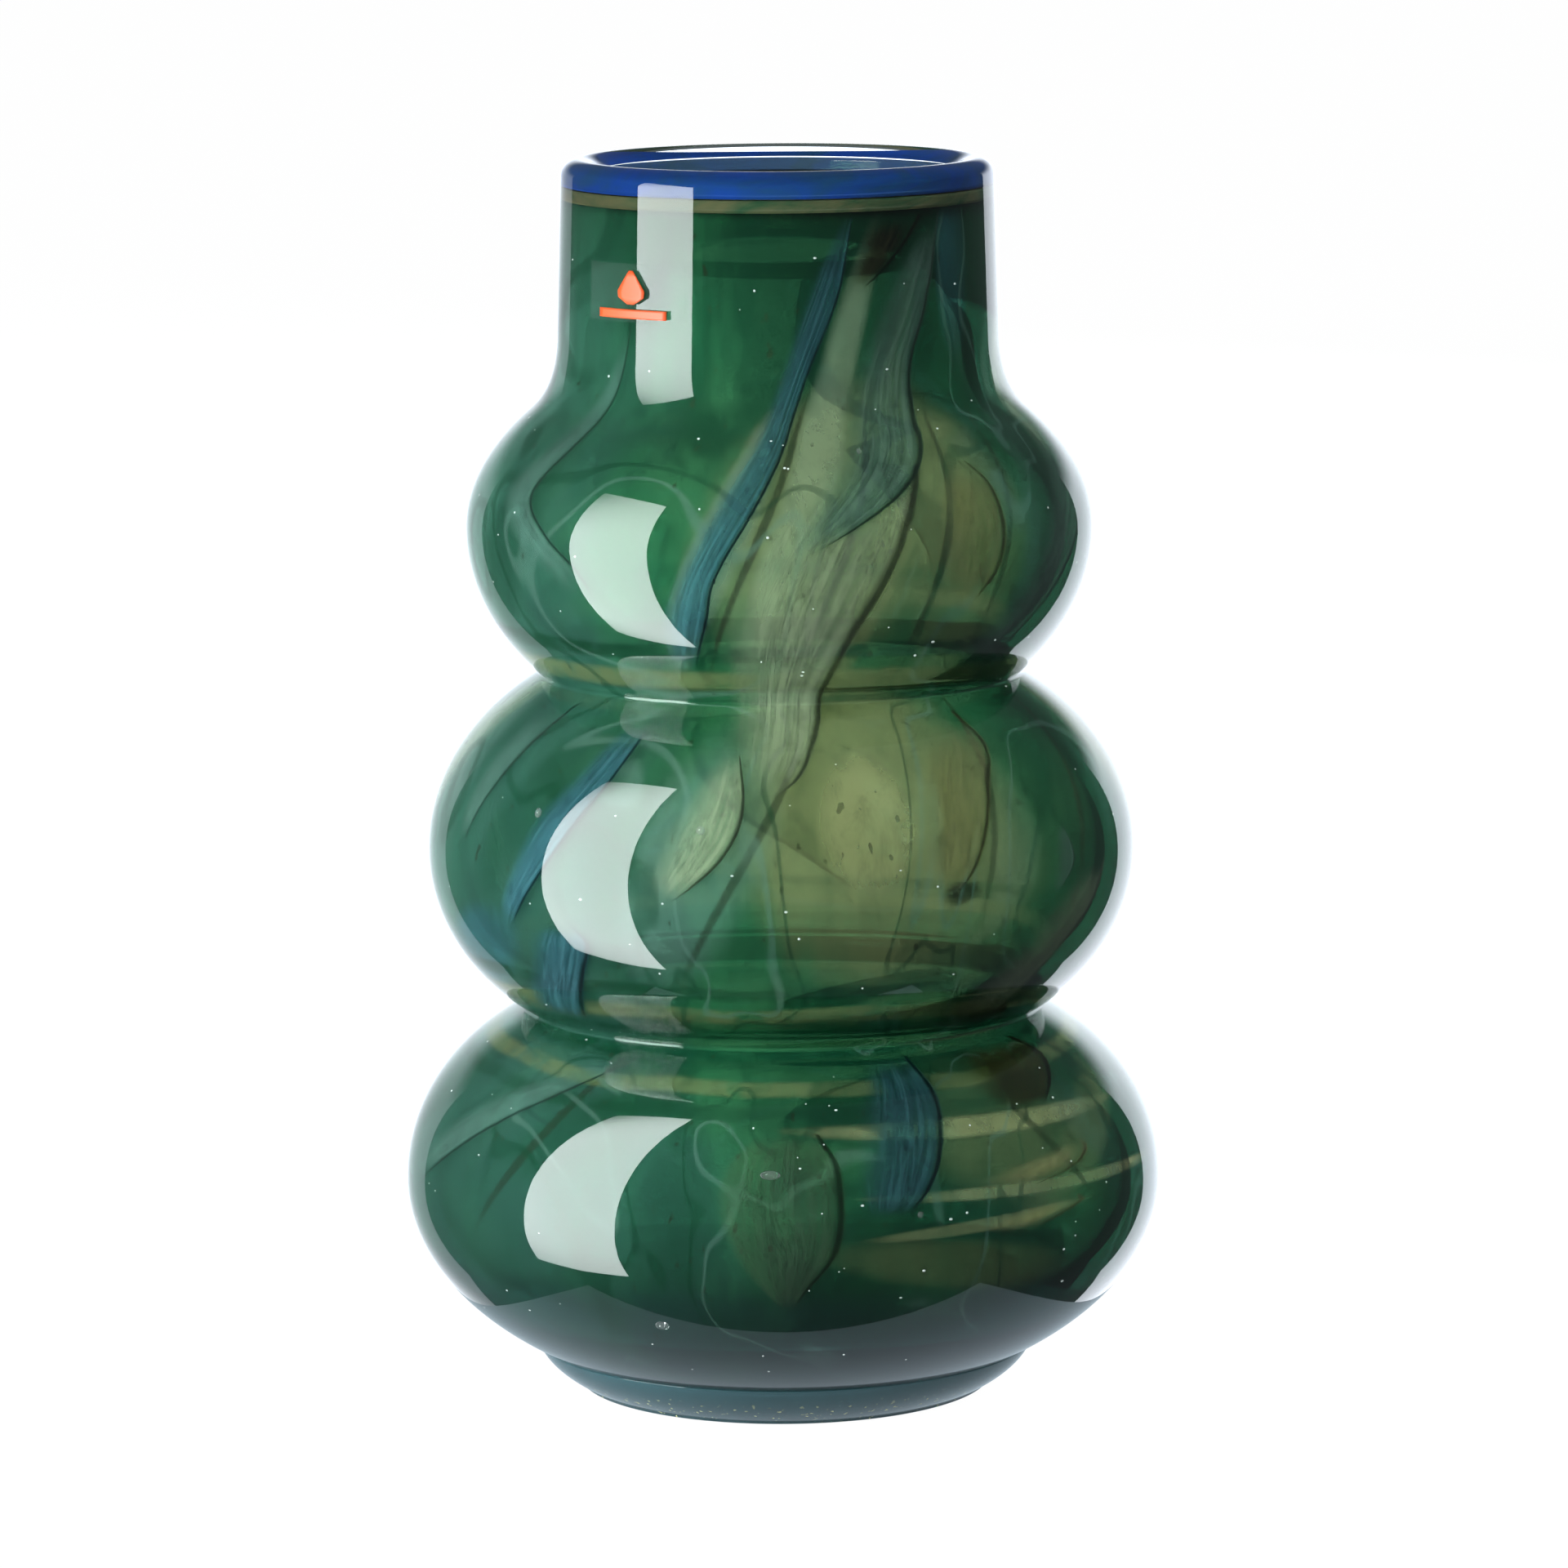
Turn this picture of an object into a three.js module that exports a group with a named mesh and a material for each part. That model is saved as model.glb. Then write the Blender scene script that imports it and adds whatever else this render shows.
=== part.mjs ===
// A hand blown art glass vase: three swelling bulges, each smaller than the one below, a straight
// wide neck with a rounded lip, and a flared foot. Clear glass is cased over a green core, and
// coloured trails and films lie between the two.
//
// Millimetres, +Z up, origin at the centre of the foot's flat underside. Azimuths are degrees from
// the front (-Y) and grow towards +X.
import * as THREE from 'three';

// ---- Outside shape ------------------------------------------------------------------------
const footHeight = 8.9;
const footBaseRadius = 42.1;
const footTopRadius = 50.8;
const footSwell = 2.9;
const footBevel = 0.6;

// Each bulge: its widest radius, the rise from the crease below to the widest line and from there
// to the crease above, and how many degrees round its ellipse each of the two creases cuts it.
const lowerBulge = { radius: 77.0, riseBelow: 33.8, riseAbove: 35.7, cutBelow: 49.2, cutAbove: 62.1 };
const middleBulge = { radius: 71.7, riseBelow: 32.2, riseAbove: 35.9, cutBelow: 56.4, cutAbove: 53.7 };
const upperBulge = { radius: 63.3, riseBelow: 29.4, riseAbove: 24.2, cutBelow: 40.2, cutAbove: 26.0 };
const lowerWaistRadius = 52.2;
const upperWaistRadius = 48.6;

const shoulderRadius = 49.9;
const shoulderRise = 15.5;
const neckBaseRadius = 44.5;
const neckTopRadius = 43.5;
const neckRise = 34.5;

// ---- Wall, from the outside inwards -----------------------------------------------------------
const casingThickness = 2.6;
const layerGap = 0.4;
const trailThickness = 0.8;
const filmThickness = 0.8;
const coreThickness = 2.4;
const pieceGap = 0.3;

// ---- Lip, base and label ------------------------------------------------------------------
const lipRise = 3.4;
const lipCapHeight = 2.4;
const lipWrapHeight = 2.7;
const goldLineHeight = 2.4;
const cavityFloorHeight = 19.0;
const floorFlatRadius = 22.0;
const floorCornerRise = 3.0;
const labelThickness = 0.2;
const printThickness = 0.15;
const labelCentreAzimuth = -40.0;
const labelBelowLip = 24.1;
const labelWidth = 24.0;
const labelHeight = 11.5;
const dropWidth = 7.0;
const dropHeight = 6.6;
const dropLift = 1.2;
const barWidth = 17.0;
const barHeight = 1.8;
const barDrop = 4.0;

// ---- Fineness -----------------------------------------------------------------------------
const turns = 36;
const arcStep = 12.5;
const shoulderSteps = 5;
const footSteps = 3;
const fanSteps = 3;
const lipSteps = 8;
const floorSteps = 3;
const widestFacet = 8.0;

// ---- Heights and depths worked out from the sizes above ---------------------------------------
const lowerWidest = footHeight + lowerBulge.riseBelow;
const lowerWaist = lowerWidest + lowerBulge.riseAbove;
const middleWidest = lowerWaist + middleBulge.riseBelow;
const upperWaist = middleWidest + middleBulge.riseAbove;
const upperWidest = upperWaist + upperBulge.riseBelow;
const shoulder = upperWidest + upperBulge.riseAbove;
const neckBase = shoulder + shoulderRise;
const vaseHeight = neckBase + neckRise;

const trailDepth = casingThickness + layerGap;
const filmDepth = trailDepth + trailThickness + layerGap;
const coreDepth = filmDepth + filmThickness + layerGap;
const wallThickness = coreDepth + coreThickness;
const lipStart = vaseHeight - lipRise;

const lipWrapTop = vaseHeight - lipCapHeight - pieceGap;
const lipWrapBottom = lipWrapTop - lipWrapHeight;
const goldLineTop = lipWrapBottom - pieceGap;
const goldLineBottom = goldLineTop - goldLineHeight;
const coreTop = goldLineBottom - pieceGap;
const labelCentreHeight = vaseHeight - labelBelowLip;

// The coloured pattern's levels are drawn on these heights, and stretch between the vase's own
// foot, widest lines, waists, shoulder, neck and the top of the core when a size changes.
const drawnMarks = [8.9, 42.7, 78.4, 110.6, 146.5, 175.9, 200.1, 215.6, 241.7];
const wallMarks = [footHeight, lowerWidest, lowerWaist, middleWidest, upperWaist, upperWidest,
  shoulder, neckBase, coreTop];

const degrees = Math.PI / 180;

// ---- The wall as a row of stations from the foot's crease to the lip ---------------------------
// A station is a point of the outside profile with its inward normal, so that a point at any depth
// in the wall is found from it. At a crease several stations share one point and fan out.

/** Points of a bulge from one crease (or its widest line) to the other, on a quarter ellipse. */
function bulgeArc(widestRadius, widestHeight, creaseRadius, creaseHeight, cut) {
  const cutCosine = Math.cos(cut * degrees);
  const semiHeight = (creaseHeight - widestHeight) / Math.sin(cut * degrees);
  const centreRadius = (creaseRadius - widestRadius * cutCosine) / (1 - cutCosine);
  const semiWidth = widestRadius - centreRadius;
  const steps = Math.round(cut / arcStep);
  return Array.from({ length: steps + 1 }, (_, i) => {
    const angle = cut * degrees * (1 - i / steps);
    return new THREE.Vector2(
      centreRadius + semiWidth * Math.cos(angle),
      widestHeight + semiHeight * Math.sin(angle),
    );
  });
}

/** A whole bulge between two creases, from the lower crease to the upper one. */
function wholeBulge(bulge, widestHeight, radiusBelow, heightBelow, radiusAbove, heightAbove) {
  const below = bulgeArc(bulge.radius, widestHeight, radiusBelow, heightBelow, bulge.cutBelow);
  const above = bulgeArc(bulge.radius, widestHeight, radiusAbove, heightAbove, bulge.cutAbove);
  return [...below, ...above.reverse().slice(1)];
}

/** The upper bulge, its shoulder and the neck, up to where the lip starts to round over. */
function upperBody() {
  const bulge = wholeBulge(upperBulge, upperWidest, upperWaistRadius, upperWaist,
    shoulderRadius, shoulder);
  const [before, end] = bulge.slice(-2);
  const reach = (end.x - neckBaseRadius) / (before.x - end.x);
  const hollow = new THREE.QuadraticBezierCurve(
    end,
    new THREE.Vector2(neckBaseRadius, end.y + (end.y - before.y) * reach),
    new THREE.Vector2(neckBaseRadius, neckBase),
  );
  return [...bulge, ...hollow.getPoints(shoulderSteps).slice(1),
    new THREE.Vector2(neckTopRadius, lipStart)];
}

/** Inward normals along one smooth run of points, found from each point's neighbours. */
function inwardNormals(points) {
  return points.map((point, i) => {
    const before = points[Math.max(i - 1, 0)];
    const after = points[Math.min(i + 1, points.length - 1)];
    const along = after.clone().sub(before).normalize();
    return new THREE.Vector2(-along.y, along.x);
  });
}

/** Stations of one crease, turning from the normal below it to the normal above it. */
function creaseFan(point, normalBelow, normalAbove) {
  const turn = normalAbove.angle() - normalBelow.angle();
  return Array.from({ length: fanSteps - 1 }, (_, i) => {
    const normal = normalBelow.clone().rotateAround(new THREE.Vector2(), turn * (i + 1) / fanSteps);
    return { point, normal };
  });
}

/** All stations, from the foot's crease to the start of the lip. */
function makeStations() {
  const runs = [
    wholeBulge(lowerBulge, lowerWidest, footTopRadius, footHeight, lowerWaistRadius, lowerWaist),
    wholeBulge(middleBulge, middleWidest, lowerWaistRadius, lowerWaist, upperWaistRadius, upperWaist),
    upperBody(),
  ];
  const result = [];
  for (const run of runs) {
    const normals = inwardNormals(run);
    if (result.length > 0) {
      const last = result[result.length - 1];
      result.push(...creaseFan(run[0], last.normal, normals[0]));
    }
    run.forEach((point, i) => result.push({ point, normal: normals[i] }));
  }
  return result;
}

const stations = makeStations();

/** The point at a depth below the outside, at a whole or part station number. */
function wallPoint(stationNumber, depth) {
  const low = Math.min(Math.floor(stationNumber), stations.length - 2);
  const part = stationNumber - low;
  const [from, to] = [stations[low], stations[low + 1]].map(
    ({ point, normal }) => point.clone().addScaledVector(normal, depth));
  return from.lerp(to, part);
}

/** The part station number at which the outside profile reaches a height. */
function stationAt(height) {
  const last = stations.length - 1;
  for (let i = 0; i < last; i += 1) {
    const low = stations[i].point.y;
    const high = stations[i + 1].point.y;
    if (height <= high && high > low) return i + Math.max(height - low, 0) / (high - low);
  }
  return last;
}

/** The vase's own height for a height in the drawn pattern. */
function patternHeight(drawn) {
  const i = Math.max(drawnMarks.findIndex((mark) => mark >= drawn) - 1, 0);
  return THREE.MathUtils.mapLinear(drawn, drawnMarks[i], drawnMarks[i + 1], wallMarks[i], wallMarks[i + 1]);
}

/** The wall's profile at a depth between two heights of the outside, with no point twice. */
function wallRun(depth, fromHeight, toHeight) {
  const first = stationAt(fromHeight);
  const last = stationAt(toHeight);
  const numbers = [first];
  for (let i = Math.floor(first) + 1; i < last; i += 1) numbers.push(i);
  numbers.push(last);
  const points = numbers.map((number) => wallPoint(number, depth));
  const tooClose = 0.01;
  return points.filter((point, i) => i === 0 || point.distanceTo(points[i - 1]) > tooClose);
}

/** The neck's radius at a depth and a true height, on its straight part. */
function neckRadius(height, depth) {
  const share = (height - neckBase) / (lipStart - neckBase);
  return THREE.MathUtils.lerp(neckBaseRadius, neckTopRadius, share) - depth;
}

// ---- Materials ------------------------------------------------------------------------------
function glass(color, opacity) {
  return new THREE.MeshStandardMaterial({
    color, opacity, transparent: true, roughness: 0.05, metalness: 0,
  });
}

const clearGlass = glass(0xdfe8ea, 0.25);
const greenGlass = glass(0x2c5a40, 0.8);
const blueGlass = glass(0x1c3f86, 0.85);
const tealGlass = glass(0x25606e, 0.8);
const slateGlass = glass(0x4a6d66, 0.75);
const oliveGlass = glass(0x6e7440, 0.75);
const darkGlass = glass(0x1c2a18, 0.9);
const goldGlass = glass(0x8a7b45, 0.8);
const footGlass = glass(0x2f4c50, 0.85);
const clearFilm = glass(0xe9eeee, 0.35);
const orangeInk = new THREE.MeshStandardMaterial({ color: 0xf0561c, roughness: 0.5, metalness: 0 });

// ---- Makers -----------------------------------------------------------------------------------
const vase = new THREE.Group();

/** Turns a closed profile (radius, height) about the vertical axis. */
function addTurned(name, profile, material) {
  const geometry = new THREE.LatheGeometry(profile, turns);
  geometry.rotateX(Math.PI / 2);
  const mesh = new THREE.Mesh(geometry, material);
  mesh.name = name;
  vase.add(mesh);
}

/** A ring of the neck's wall between two heights and two depths. */
function addNeckRing(name, bottom, top, outerDepth, innerDepth, material) {
  const corner = (height, depth) => new THREE.Vector2(neckRadius(height, depth), height);
  const profile = [
    corner(bottom, outerDepth), corner(top, outerDepth),
    corner(top, innerDepth), corner(bottom, innerDepth),
  ];
  addTurned(name, [...profile, profile[0]], material);
}

/** A smooth value through keys of [height, value], for any height between the first and last. */
function smoothKey(keys, wantedHeight) {
  const last = keys.length - 1;
  const height = THREE.MathUtils.clamp(wantedHeight, keys[0][0], keys[last][0]);
  const i = Math.max(keys.findIndex(([level]) => level >= height) - 1, 0);
  const [fromHeight, from] = keys[i];
  const [toHeight, to] = keys[i + 1];
  const slopeAt = (k) => {
    const [lowHeight, low] = keys[Math.max(k - 1, 0)];
    const [highHeight, high] = keys[Math.min(k + 1, last)];
    return (high - low) / (highHeight - lowHeight) * (toHeight - fromHeight);
  };
  const t = (height - fromHeight) / (toHeight - fromHeight);
  const blend = t * t * (3 - 2 * t);
  const bend = t * (1 - t) * ((1 - t) * slopeAt(i) - t * slopeAt(i + 1));
  return from + (to - from) * blend + bend;
}

/**
 * A thin piece that follows the wall. Its outline is given as levels of [height, azimuth of the
 * left edge, azimuth of the right edge] from the bottom up, and it fills the wall between two
 * depths. Rows stand on the wall's own stations, so it lies parallel to the layers beside it.
 */
function addWallPiece(name, levels, outerDepth, innerDepth, material) {
  const leftKeys = levels.map(([height, left]) => [height, left]);
  const rightKeys = levels.map(([height, , right]) => [height, right]);
  const numbers = levels.map(([height]) => stationAt(height));
  const last = numbers[numbers.length - 1];
  for (let i = Math.ceil(numbers[0]); i < last; i += 1) numbers.push(i);
  const closest = 0.02;
  const rows = numbers.sort((a, b) => a - b).filter((n, i, all) => i === 0 || n - all[i - 1] > closest);
  const widest = Math.max(...levels.map(([, left, right]) => right - left));
  const columns = Math.max(1, Math.ceil(widest / widestFacet));
  const geometry = new THREE.BoxGeometry(1, 1, 1, columns, rows.length - 1, 1);
  const position = geometry.attributes.position;
  for (let i = 0; i < position.count; i += 1) {
    const row = rows[Math.round((position.getY(i) + 0.5) * (rows.length - 1))];
    const height = wallPoint(row, 0).y;
    const across = position.getX(i) + 0.5;
    const left = smoothKey(leftKeys, height);
    const right = smoothKey(rightKeys, height);
    const azimuth = THREE.MathUtils.lerp(left, right, across) * degrees;
    const place = wallPoint(row, position.getZ(i) > 0 ? outerDepth : innerDepth);
    position.setXYZ(i, place.x * Math.sin(azimuth), -place.x * Math.cos(azimuth), place.y);
  }
  const mesh = new THREE.Mesh(geometry, material);
  mesh.name = name;
  vase.add(mesh);
}

// ---- Casing, core, rings and foot ---------------------------------------------------------------

/** The lip's half round, from the outside over the top to where the casing ends on the inside. */
function lipRound() {
  const lastAngle = Math.PI - Math.asin((lipRise - lipCapHeight) / lipRise);
  return Array.from({ length: lipSteps + 1 }, (_, i) => {
    const angle = lastAngle * i / lipSteps;
    const inset = wallThickness / 2 * (1 - Math.cos(angle));
    return new THREE.Vector2(neckTopRadius - inset, lipStart + lipRise * Math.sin(angle));
  });
}

/** Clear casing: the outside layer, closed over the top of the wall as a rounded lip. */
function addCasing() {
  const outside = wallRun(0, footHeight, neckBase);
  const inside = wallRun(casingThickness, footHeight, neckBase);
  const capBottom = vaseHeight - lipCapHeight;
  const capCorner = new THREE.Vector2(neckRadius(capBottom, casingThickness), capBottom);
  const profile = [...outside, ...lipRound(), capCorner, ...inside.reverse()];
  addTurned('outer_casing', [...profile, profile[0]], clearGlass);
}

/** The flat height on which the core stands: the level of its own lowest outside point. */
const coreBottom = wallPoint(0, coreDepth).y;

/** Green core: the coloured layer, whose inside is the cavity's wall and floor. */
function addCore() {
  const outside = wallRun(coreDepth, footHeight, neckBase);
  const outsideTop = new THREE.Vector2(neckRadius(coreTop, coreDepth), coreTop);
  const insideTop = new THREE.Vector2(neckRadius(coreTop, wallThickness), coreTop);
  const floorEdge = cavityFloorHeight + floorCornerRise;
  const inside = wallRun(wallThickness, footHeight, neckBase).filter(({ y }) => y > floorEdge);
  const [corner, next] = inside;
  const slope = (next.x - corner.x) / (next.y - corner.y);
  const floorCurve = new THREE.QuadraticBezierCurve(
    corner,
    new THREE.Vector2(corner.x - slope * (corner.y - cavityFloorHeight), cavityFloorHeight),
    new THREE.Vector2(floorFlatRadius, cavityFloorHeight),
  );
  const profile = [
    new THREE.Vector2(0, coreBottom), ...outside, outsideTop,
    insideTop, ...inside.reverse(), ...floorCurve.getPoints(floorSteps).slice(1),
    new THREE.Vector2(0, cavityFloorHeight),
  ];
  addTurned('green_core', profile, greenGlass);
}

/** Foot: a solid pad that flares up to the crease and carries the casing and the core. */
function addFoot() {
  const flare = new THREE.QuadraticBezierCurve(
    new THREE.Vector2(footBaseRadius, footBevel),
    new THREE.Vector2((footBaseRadius + footTopRadius) / 2 + footSwell, footHeight / 2),
    new THREE.Vector2(footTopRadius, footHeight),
  );
  const { normal } = stations[0];
  const down = new THREE.Vector2(-normal.y, normal.x).multiplyScalar(pieceGap);
  const seat = stations[0].point.clone().add(down);
  const top = coreBottom - pieceGap;
  const rise = (top - seat.y) / normal.y;
  const profile = [
    new THREE.Vector2(0, 0), new THREE.Vector2(footBaseRadius - footBevel, 0),
    ...flare.getPoints(footSteps).slice(0, -1), seat,
    seat.clone().addScaledVector(normal, rise), new THREE.Vector2(0, top),
  ];
  addTurned('foot_pad', profile, footGlass);
}

// ---- Trails and films between the casing and the core --------------------------------------------
// Trails lie next to the casing and films next to the core, so that one may cross the other.

function onThisVase(levels) {
  return levels.map(([height, left, right]) => [patternHeight(height), left, right]);
}

function addTrail(name, levels, material) {
  const depth = trailDepth + trailThickness;
  addWallPiece(name, onThisVase(levels), trailDepth, depth, material);
}

function addFilm(name, levels, material) {
  const depth = filmDepth + filmThickness;
  addWallPiece(name, onThisVase(levels), filmDepth, depth, material);
}

/** Front of the neck and the upper bulge: two ribbons that sweep down to the left over a film. */
function addUpperFront() {
  addTrail('trail_blue_sweep',
    [[152, -24, -18], [163, -24, -14], [172, -20.5, -12], [190, -13, -3], [207.5, -2, 6],
      [226, 7, 16.5], [241, 17, 20.5]], blueGlass);
  addTrail('trail_teal_sweep',
    [[176, 0, 3], [182, 2.5, 13], [189, 5.5, 24], [196, 9.5, 32], [203, 13.5, 36], [213, 20, 38],
      [222, 26, 43], [230, 32.5, 46], [241, 45, 49]], tealGlass);
  addFilm('film_slate_front',
    [[130, -6, -3.5], [136, -10, 4], [147, -13, 10], [161, -13, 16], [177, -9, 23], [189, -3, 28],
      [195, 3, 31]], slateGlass);
  addFilm('film_leaf', [[196.4, 22, 23.5], [201, 23.5, 27.5], [207, 24.5, 25.7]], slateGlass);
  addFilm('film_dark_neck', [[226.5, 18.5, 23], [231, 20.5, 31], [236, 22, 38], [241, 23, 44]],
    darkGlass);
  addTrail('trail_olive_lobe', [[165, 34, 38.5], [172, 30, 44.5], [181.5, 29, 47], [190, 31, 46],
    [194.5, 36, 42]], oliveGlass);
}

/** Right side: a ribbon down to the upper waist, a thumb-shaped film under it and a lens. */
function addRightSide() {
  addTrail('trail_right_sweep', [[150, 36.5, 47], [162, 45, 60], [175, 53, 71], [188, 62, 80],
    [198, 70, 82]], tealGlass);
  addFilm('film_brown_thumb', [[110.5, 27, 30], [117, 23, 34.5], [132, 24, 41], [139, 27, 45],
    [145, 32, 43]], darkGlass);
  addTrail('trail_teal_lens', [[107.5, 49.5, 51], [114, 50, 56], [121.5, 52.5, 54]], tealGlass);
  addTrail('trail_slate_right', [[81, 33, 45], [88, 36, 50], [96, 42, 56], [104, 48, 62],
    [112, 57, 66]], slateGlass);
}

/** Left side: a ribbon over the upper bulge and three over the middle one. */
function addLeftSide() {
  addTrail('trail_left_shoulder', [[165, -44, -36], [172.5, -52, -40], [180, -62, -49],
    [187, -66, -55], [197, -60, -50], [208, -52, -46], [219, -46, -43]], tealGlass);
  addTrail('trail_left_edge', [[116, -68, -65], [129, -68, -60], [145, -65, -53]], slateGlass);
  addTrail('trail_left_blue', [[101, -54, -51], [107, -53, -47], [115, -50, -42], [124, -47, -37],
    [134, -41, -32], [143, -36, -29]], blueGlass);
  addFilm('film_blue_patch', [[81, -60, -44], [86, -57, -40.5], [92, -51, -37], [99.6, -47, -34],
    [103, -43, -37]], blueGlass);
  addTrail('trail_centre_leaf', [[110.5, -21, -18], [113, -22.5, -15], [119, -22, -10],
    [125.7, -20, -7], [132, -17, -6.5], [139, -13, -8]], slateGlass);
}

/** Lower bulge: a blue panel, an olive lobe, two bright streaks and two side ribbons. */
function addLowerBulge() {
  addTrail('trail_blue_panel', [[49, 12.5, 19], [54, 11, 23], [63, 11, 27], [72, 13.5, 29],
    [77.5, 16.5, 27]], blueGlass);
  addFilm('film_olive_lobe', [[29, -0.5, 1.5], [34, -4, 4], [41, -8, 8], [51, -11, 9.5],
    [60, -10, 9], [66, -5, 6]], oliveGlass);
  addFilm('film_upper_streak', [[52, 34, 43], [54, 30, 53], [56.5, 37, 57], [58.5, 50, 56]],
    goldGlass);
  addFilm('film_lower_streak', [[42.8, 34, 41], [44.5, 30, 47], [46.5, 32, 53], [48, 44, 52]],
    goldGlass);
  addTrail('trail_brown_lobe', [[66, 42, 50], [70, 36.5, 57], [74, 35, 61], [77.4, 37, 58]],
    darkGlass);
  addTrail('trail_lower_left', [[45, -82, -75], [55, -74, -63], [64, -64, -52], [72, -52, -40],
    [77.6, -42, -31]], tealGlass);
}

/** Back: the same kinds of ribbon and film carried on round the vase. */
function addBack() {
  addTrail('trail_back_blue', [[150, 128, 137], [165, 133, 147], [180, 142, 156], [195, 154, 166],
    [212, 166, 177], [241, 186, 191]], blueGlass);
  addTrail('trail_back_teal', [[158, 198, 206], [170, 200, 216], [185, 206, 226], [200, 216, 234],
    [220, 232, 244], [240, 246, 250]], tealGlass);
  addFilm('film_back_slate', [[84, 150, 162], [95, 145, 175], [110, 148, 190], [125, 158, 198],
    [138, 172, 200], [145, 184, 194]], slateGlass);
  addTrail('trail_back_olive', [[88, 208, 216], [100, 206, 226], [115, 212, 236], [130, 224, 242],
    [142, 236, 243]], oliveGlass);
  addTrail('trail_back_low', [[34, 168, 178], [45, 156, 180], [56, 144, 172], [67, 134, 156],
    [75, 130, 140]], blueGlass);
  addFilm('film_back_gold', [[40, 206, 216], [48, 200, 230], [58, 204, 236], [68, 218, 234]],
    goldGlass);
}

// ---- Label ---------------------------------------------------------------------------------------
// A clear film stuck on the neck, printed with a plain drop over a bar.

/** Degrees of azimuth that a length takes up on the outside of the neck. */
function neckDegrees(length) {
  return length / neckRadius(labelCentreHeight, 0) / degrees;
}

function addLabel() {
  const filmDepthOut = -pieceGap;
  const halfFilm = neckDegrees(labelWidth / 2);
  const bottom = labelCentreHeight - labelHeight / 2;
  const top = labelCentreHeight + labelHeight / 2;
  addWallPiece('label_film',
    [[bottom, labelCentreAzimuth - halfFilm, labelCentreAzimuth + halfFilm],
      [top, labelCentreAzimuth - halfFilm, labelCentreAzimuth + halfFilm]],
    filmDepthOut - labelThickness, filmDepthOut, clearFilm);
  const inkDepth = filmDepthOut - labelThickness - pieceGap;
  const level = (height, width) => [height,
    labelCentreAzimuth - neckDegrees(width / 2), labelCentreAzimuth + neckDegrees(width / 2)];
  // Shares of the drop's height, and of its width there: round below and pointed above.
  const dropOutline = [[-0.5, 0.24], [-0.4, 0.76], [-0.15, 1], [0.11, 0.68], [0.5, 0.14]];
  const dropCentre = labelCentreHeight + dropLift;
  addWallPiece('label_print_drop',
    dropOutline.map(([up, across]) => level(dropCentre + dropHeight * up, dropWidth * across)),
    inkDepth - printThickness, inkDepth, orangeInk);
  const barCentre = labelCentreHeight - barDrop;
  addWallPiece('label_print_bar',
    [level(barCentre - barHeight / 2, barWidth), level(barCentre + barHeight / 2, barWidth)],
    inkDepth - printThickness, inkDepth, orangeInk);
}

addFoot();
addCore();
addUpperFront();
addRightSide();
addLeftSide();
addLowerBulge();
addBack();
addNeckRing('gold_line', goldLineBottom, goldLineTop, trailDepth, wallThickness, goldGlass);
addNeckRing('lip_wrap', lipWrapBottom, lipWrapTop, trailDepth, wallThickness, blueGlass);
addCasing();
addLabel();

export default vase;
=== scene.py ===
"""A hand blown art glass vase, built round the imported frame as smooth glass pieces.

Metres, +Z up, origin at the centre of the foot's flat underside. Azimuths are degrees from the
front (-Y) and grow towards +X. Every piece of the wall lies at a depth below the outside skin.
"""

import math
import random

import bpy
import numpy as np
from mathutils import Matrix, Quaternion, Vector


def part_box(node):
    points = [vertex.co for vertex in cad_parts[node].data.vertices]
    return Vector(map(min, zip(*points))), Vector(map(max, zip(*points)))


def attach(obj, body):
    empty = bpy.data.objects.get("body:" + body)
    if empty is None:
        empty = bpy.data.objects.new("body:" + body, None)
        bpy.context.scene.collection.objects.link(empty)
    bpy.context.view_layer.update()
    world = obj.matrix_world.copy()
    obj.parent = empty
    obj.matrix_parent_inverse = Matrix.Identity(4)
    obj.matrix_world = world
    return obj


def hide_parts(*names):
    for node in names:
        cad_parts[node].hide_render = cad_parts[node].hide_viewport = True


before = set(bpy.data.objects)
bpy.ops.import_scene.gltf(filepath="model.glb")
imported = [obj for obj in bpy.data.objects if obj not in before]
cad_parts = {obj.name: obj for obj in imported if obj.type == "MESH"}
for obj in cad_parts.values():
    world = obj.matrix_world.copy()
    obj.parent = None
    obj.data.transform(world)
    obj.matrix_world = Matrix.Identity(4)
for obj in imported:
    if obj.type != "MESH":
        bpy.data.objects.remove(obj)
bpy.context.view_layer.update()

bl_info = {
    "name": "Art Glass Vase",
    "version": (1, 0, 0),
    "blender": (4, 5, 0),
    "location": "View3D > Sidebar > Vase",
    "description": "Builds a cased glass vase with trails and films in its wall",
    "category": "Object",
}

MM = 0.001
BODY = "root"
SKIN = 0
WITHIN = 1

# ---- Main sizes; the height and the widest radius come from the frame ----------------------------
VASE_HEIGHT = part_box("outer_casing")[1].z
WIDEST_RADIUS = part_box("outer_casing")[1].x
LIP_RISE = 3.4 * MM
# The straight neck stands on the shoulder's hollow at this height, and rises to the lip.
NECK_BASE_HEIGHT = 215.6 * MM
NECK_RISE = VASE_HEIGHT - LIP_RISE - NECK_BASE_HEIGHT


def length(label, text, default):
    """A size that a user may change, in metres."""
    return bpy.props.FloatProperty(name=label, description=text, default=default, unit="LENGTH",
                                   min=0.0, precision=4)


def colour(label, text, default):
    """A linear colour that a user may change."""
    return bpy.props.FloatVectorProperty(name=label, description=text, default=default,
                                         subtype="COLOR", size=3, min=0.0, max=1.0)


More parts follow.
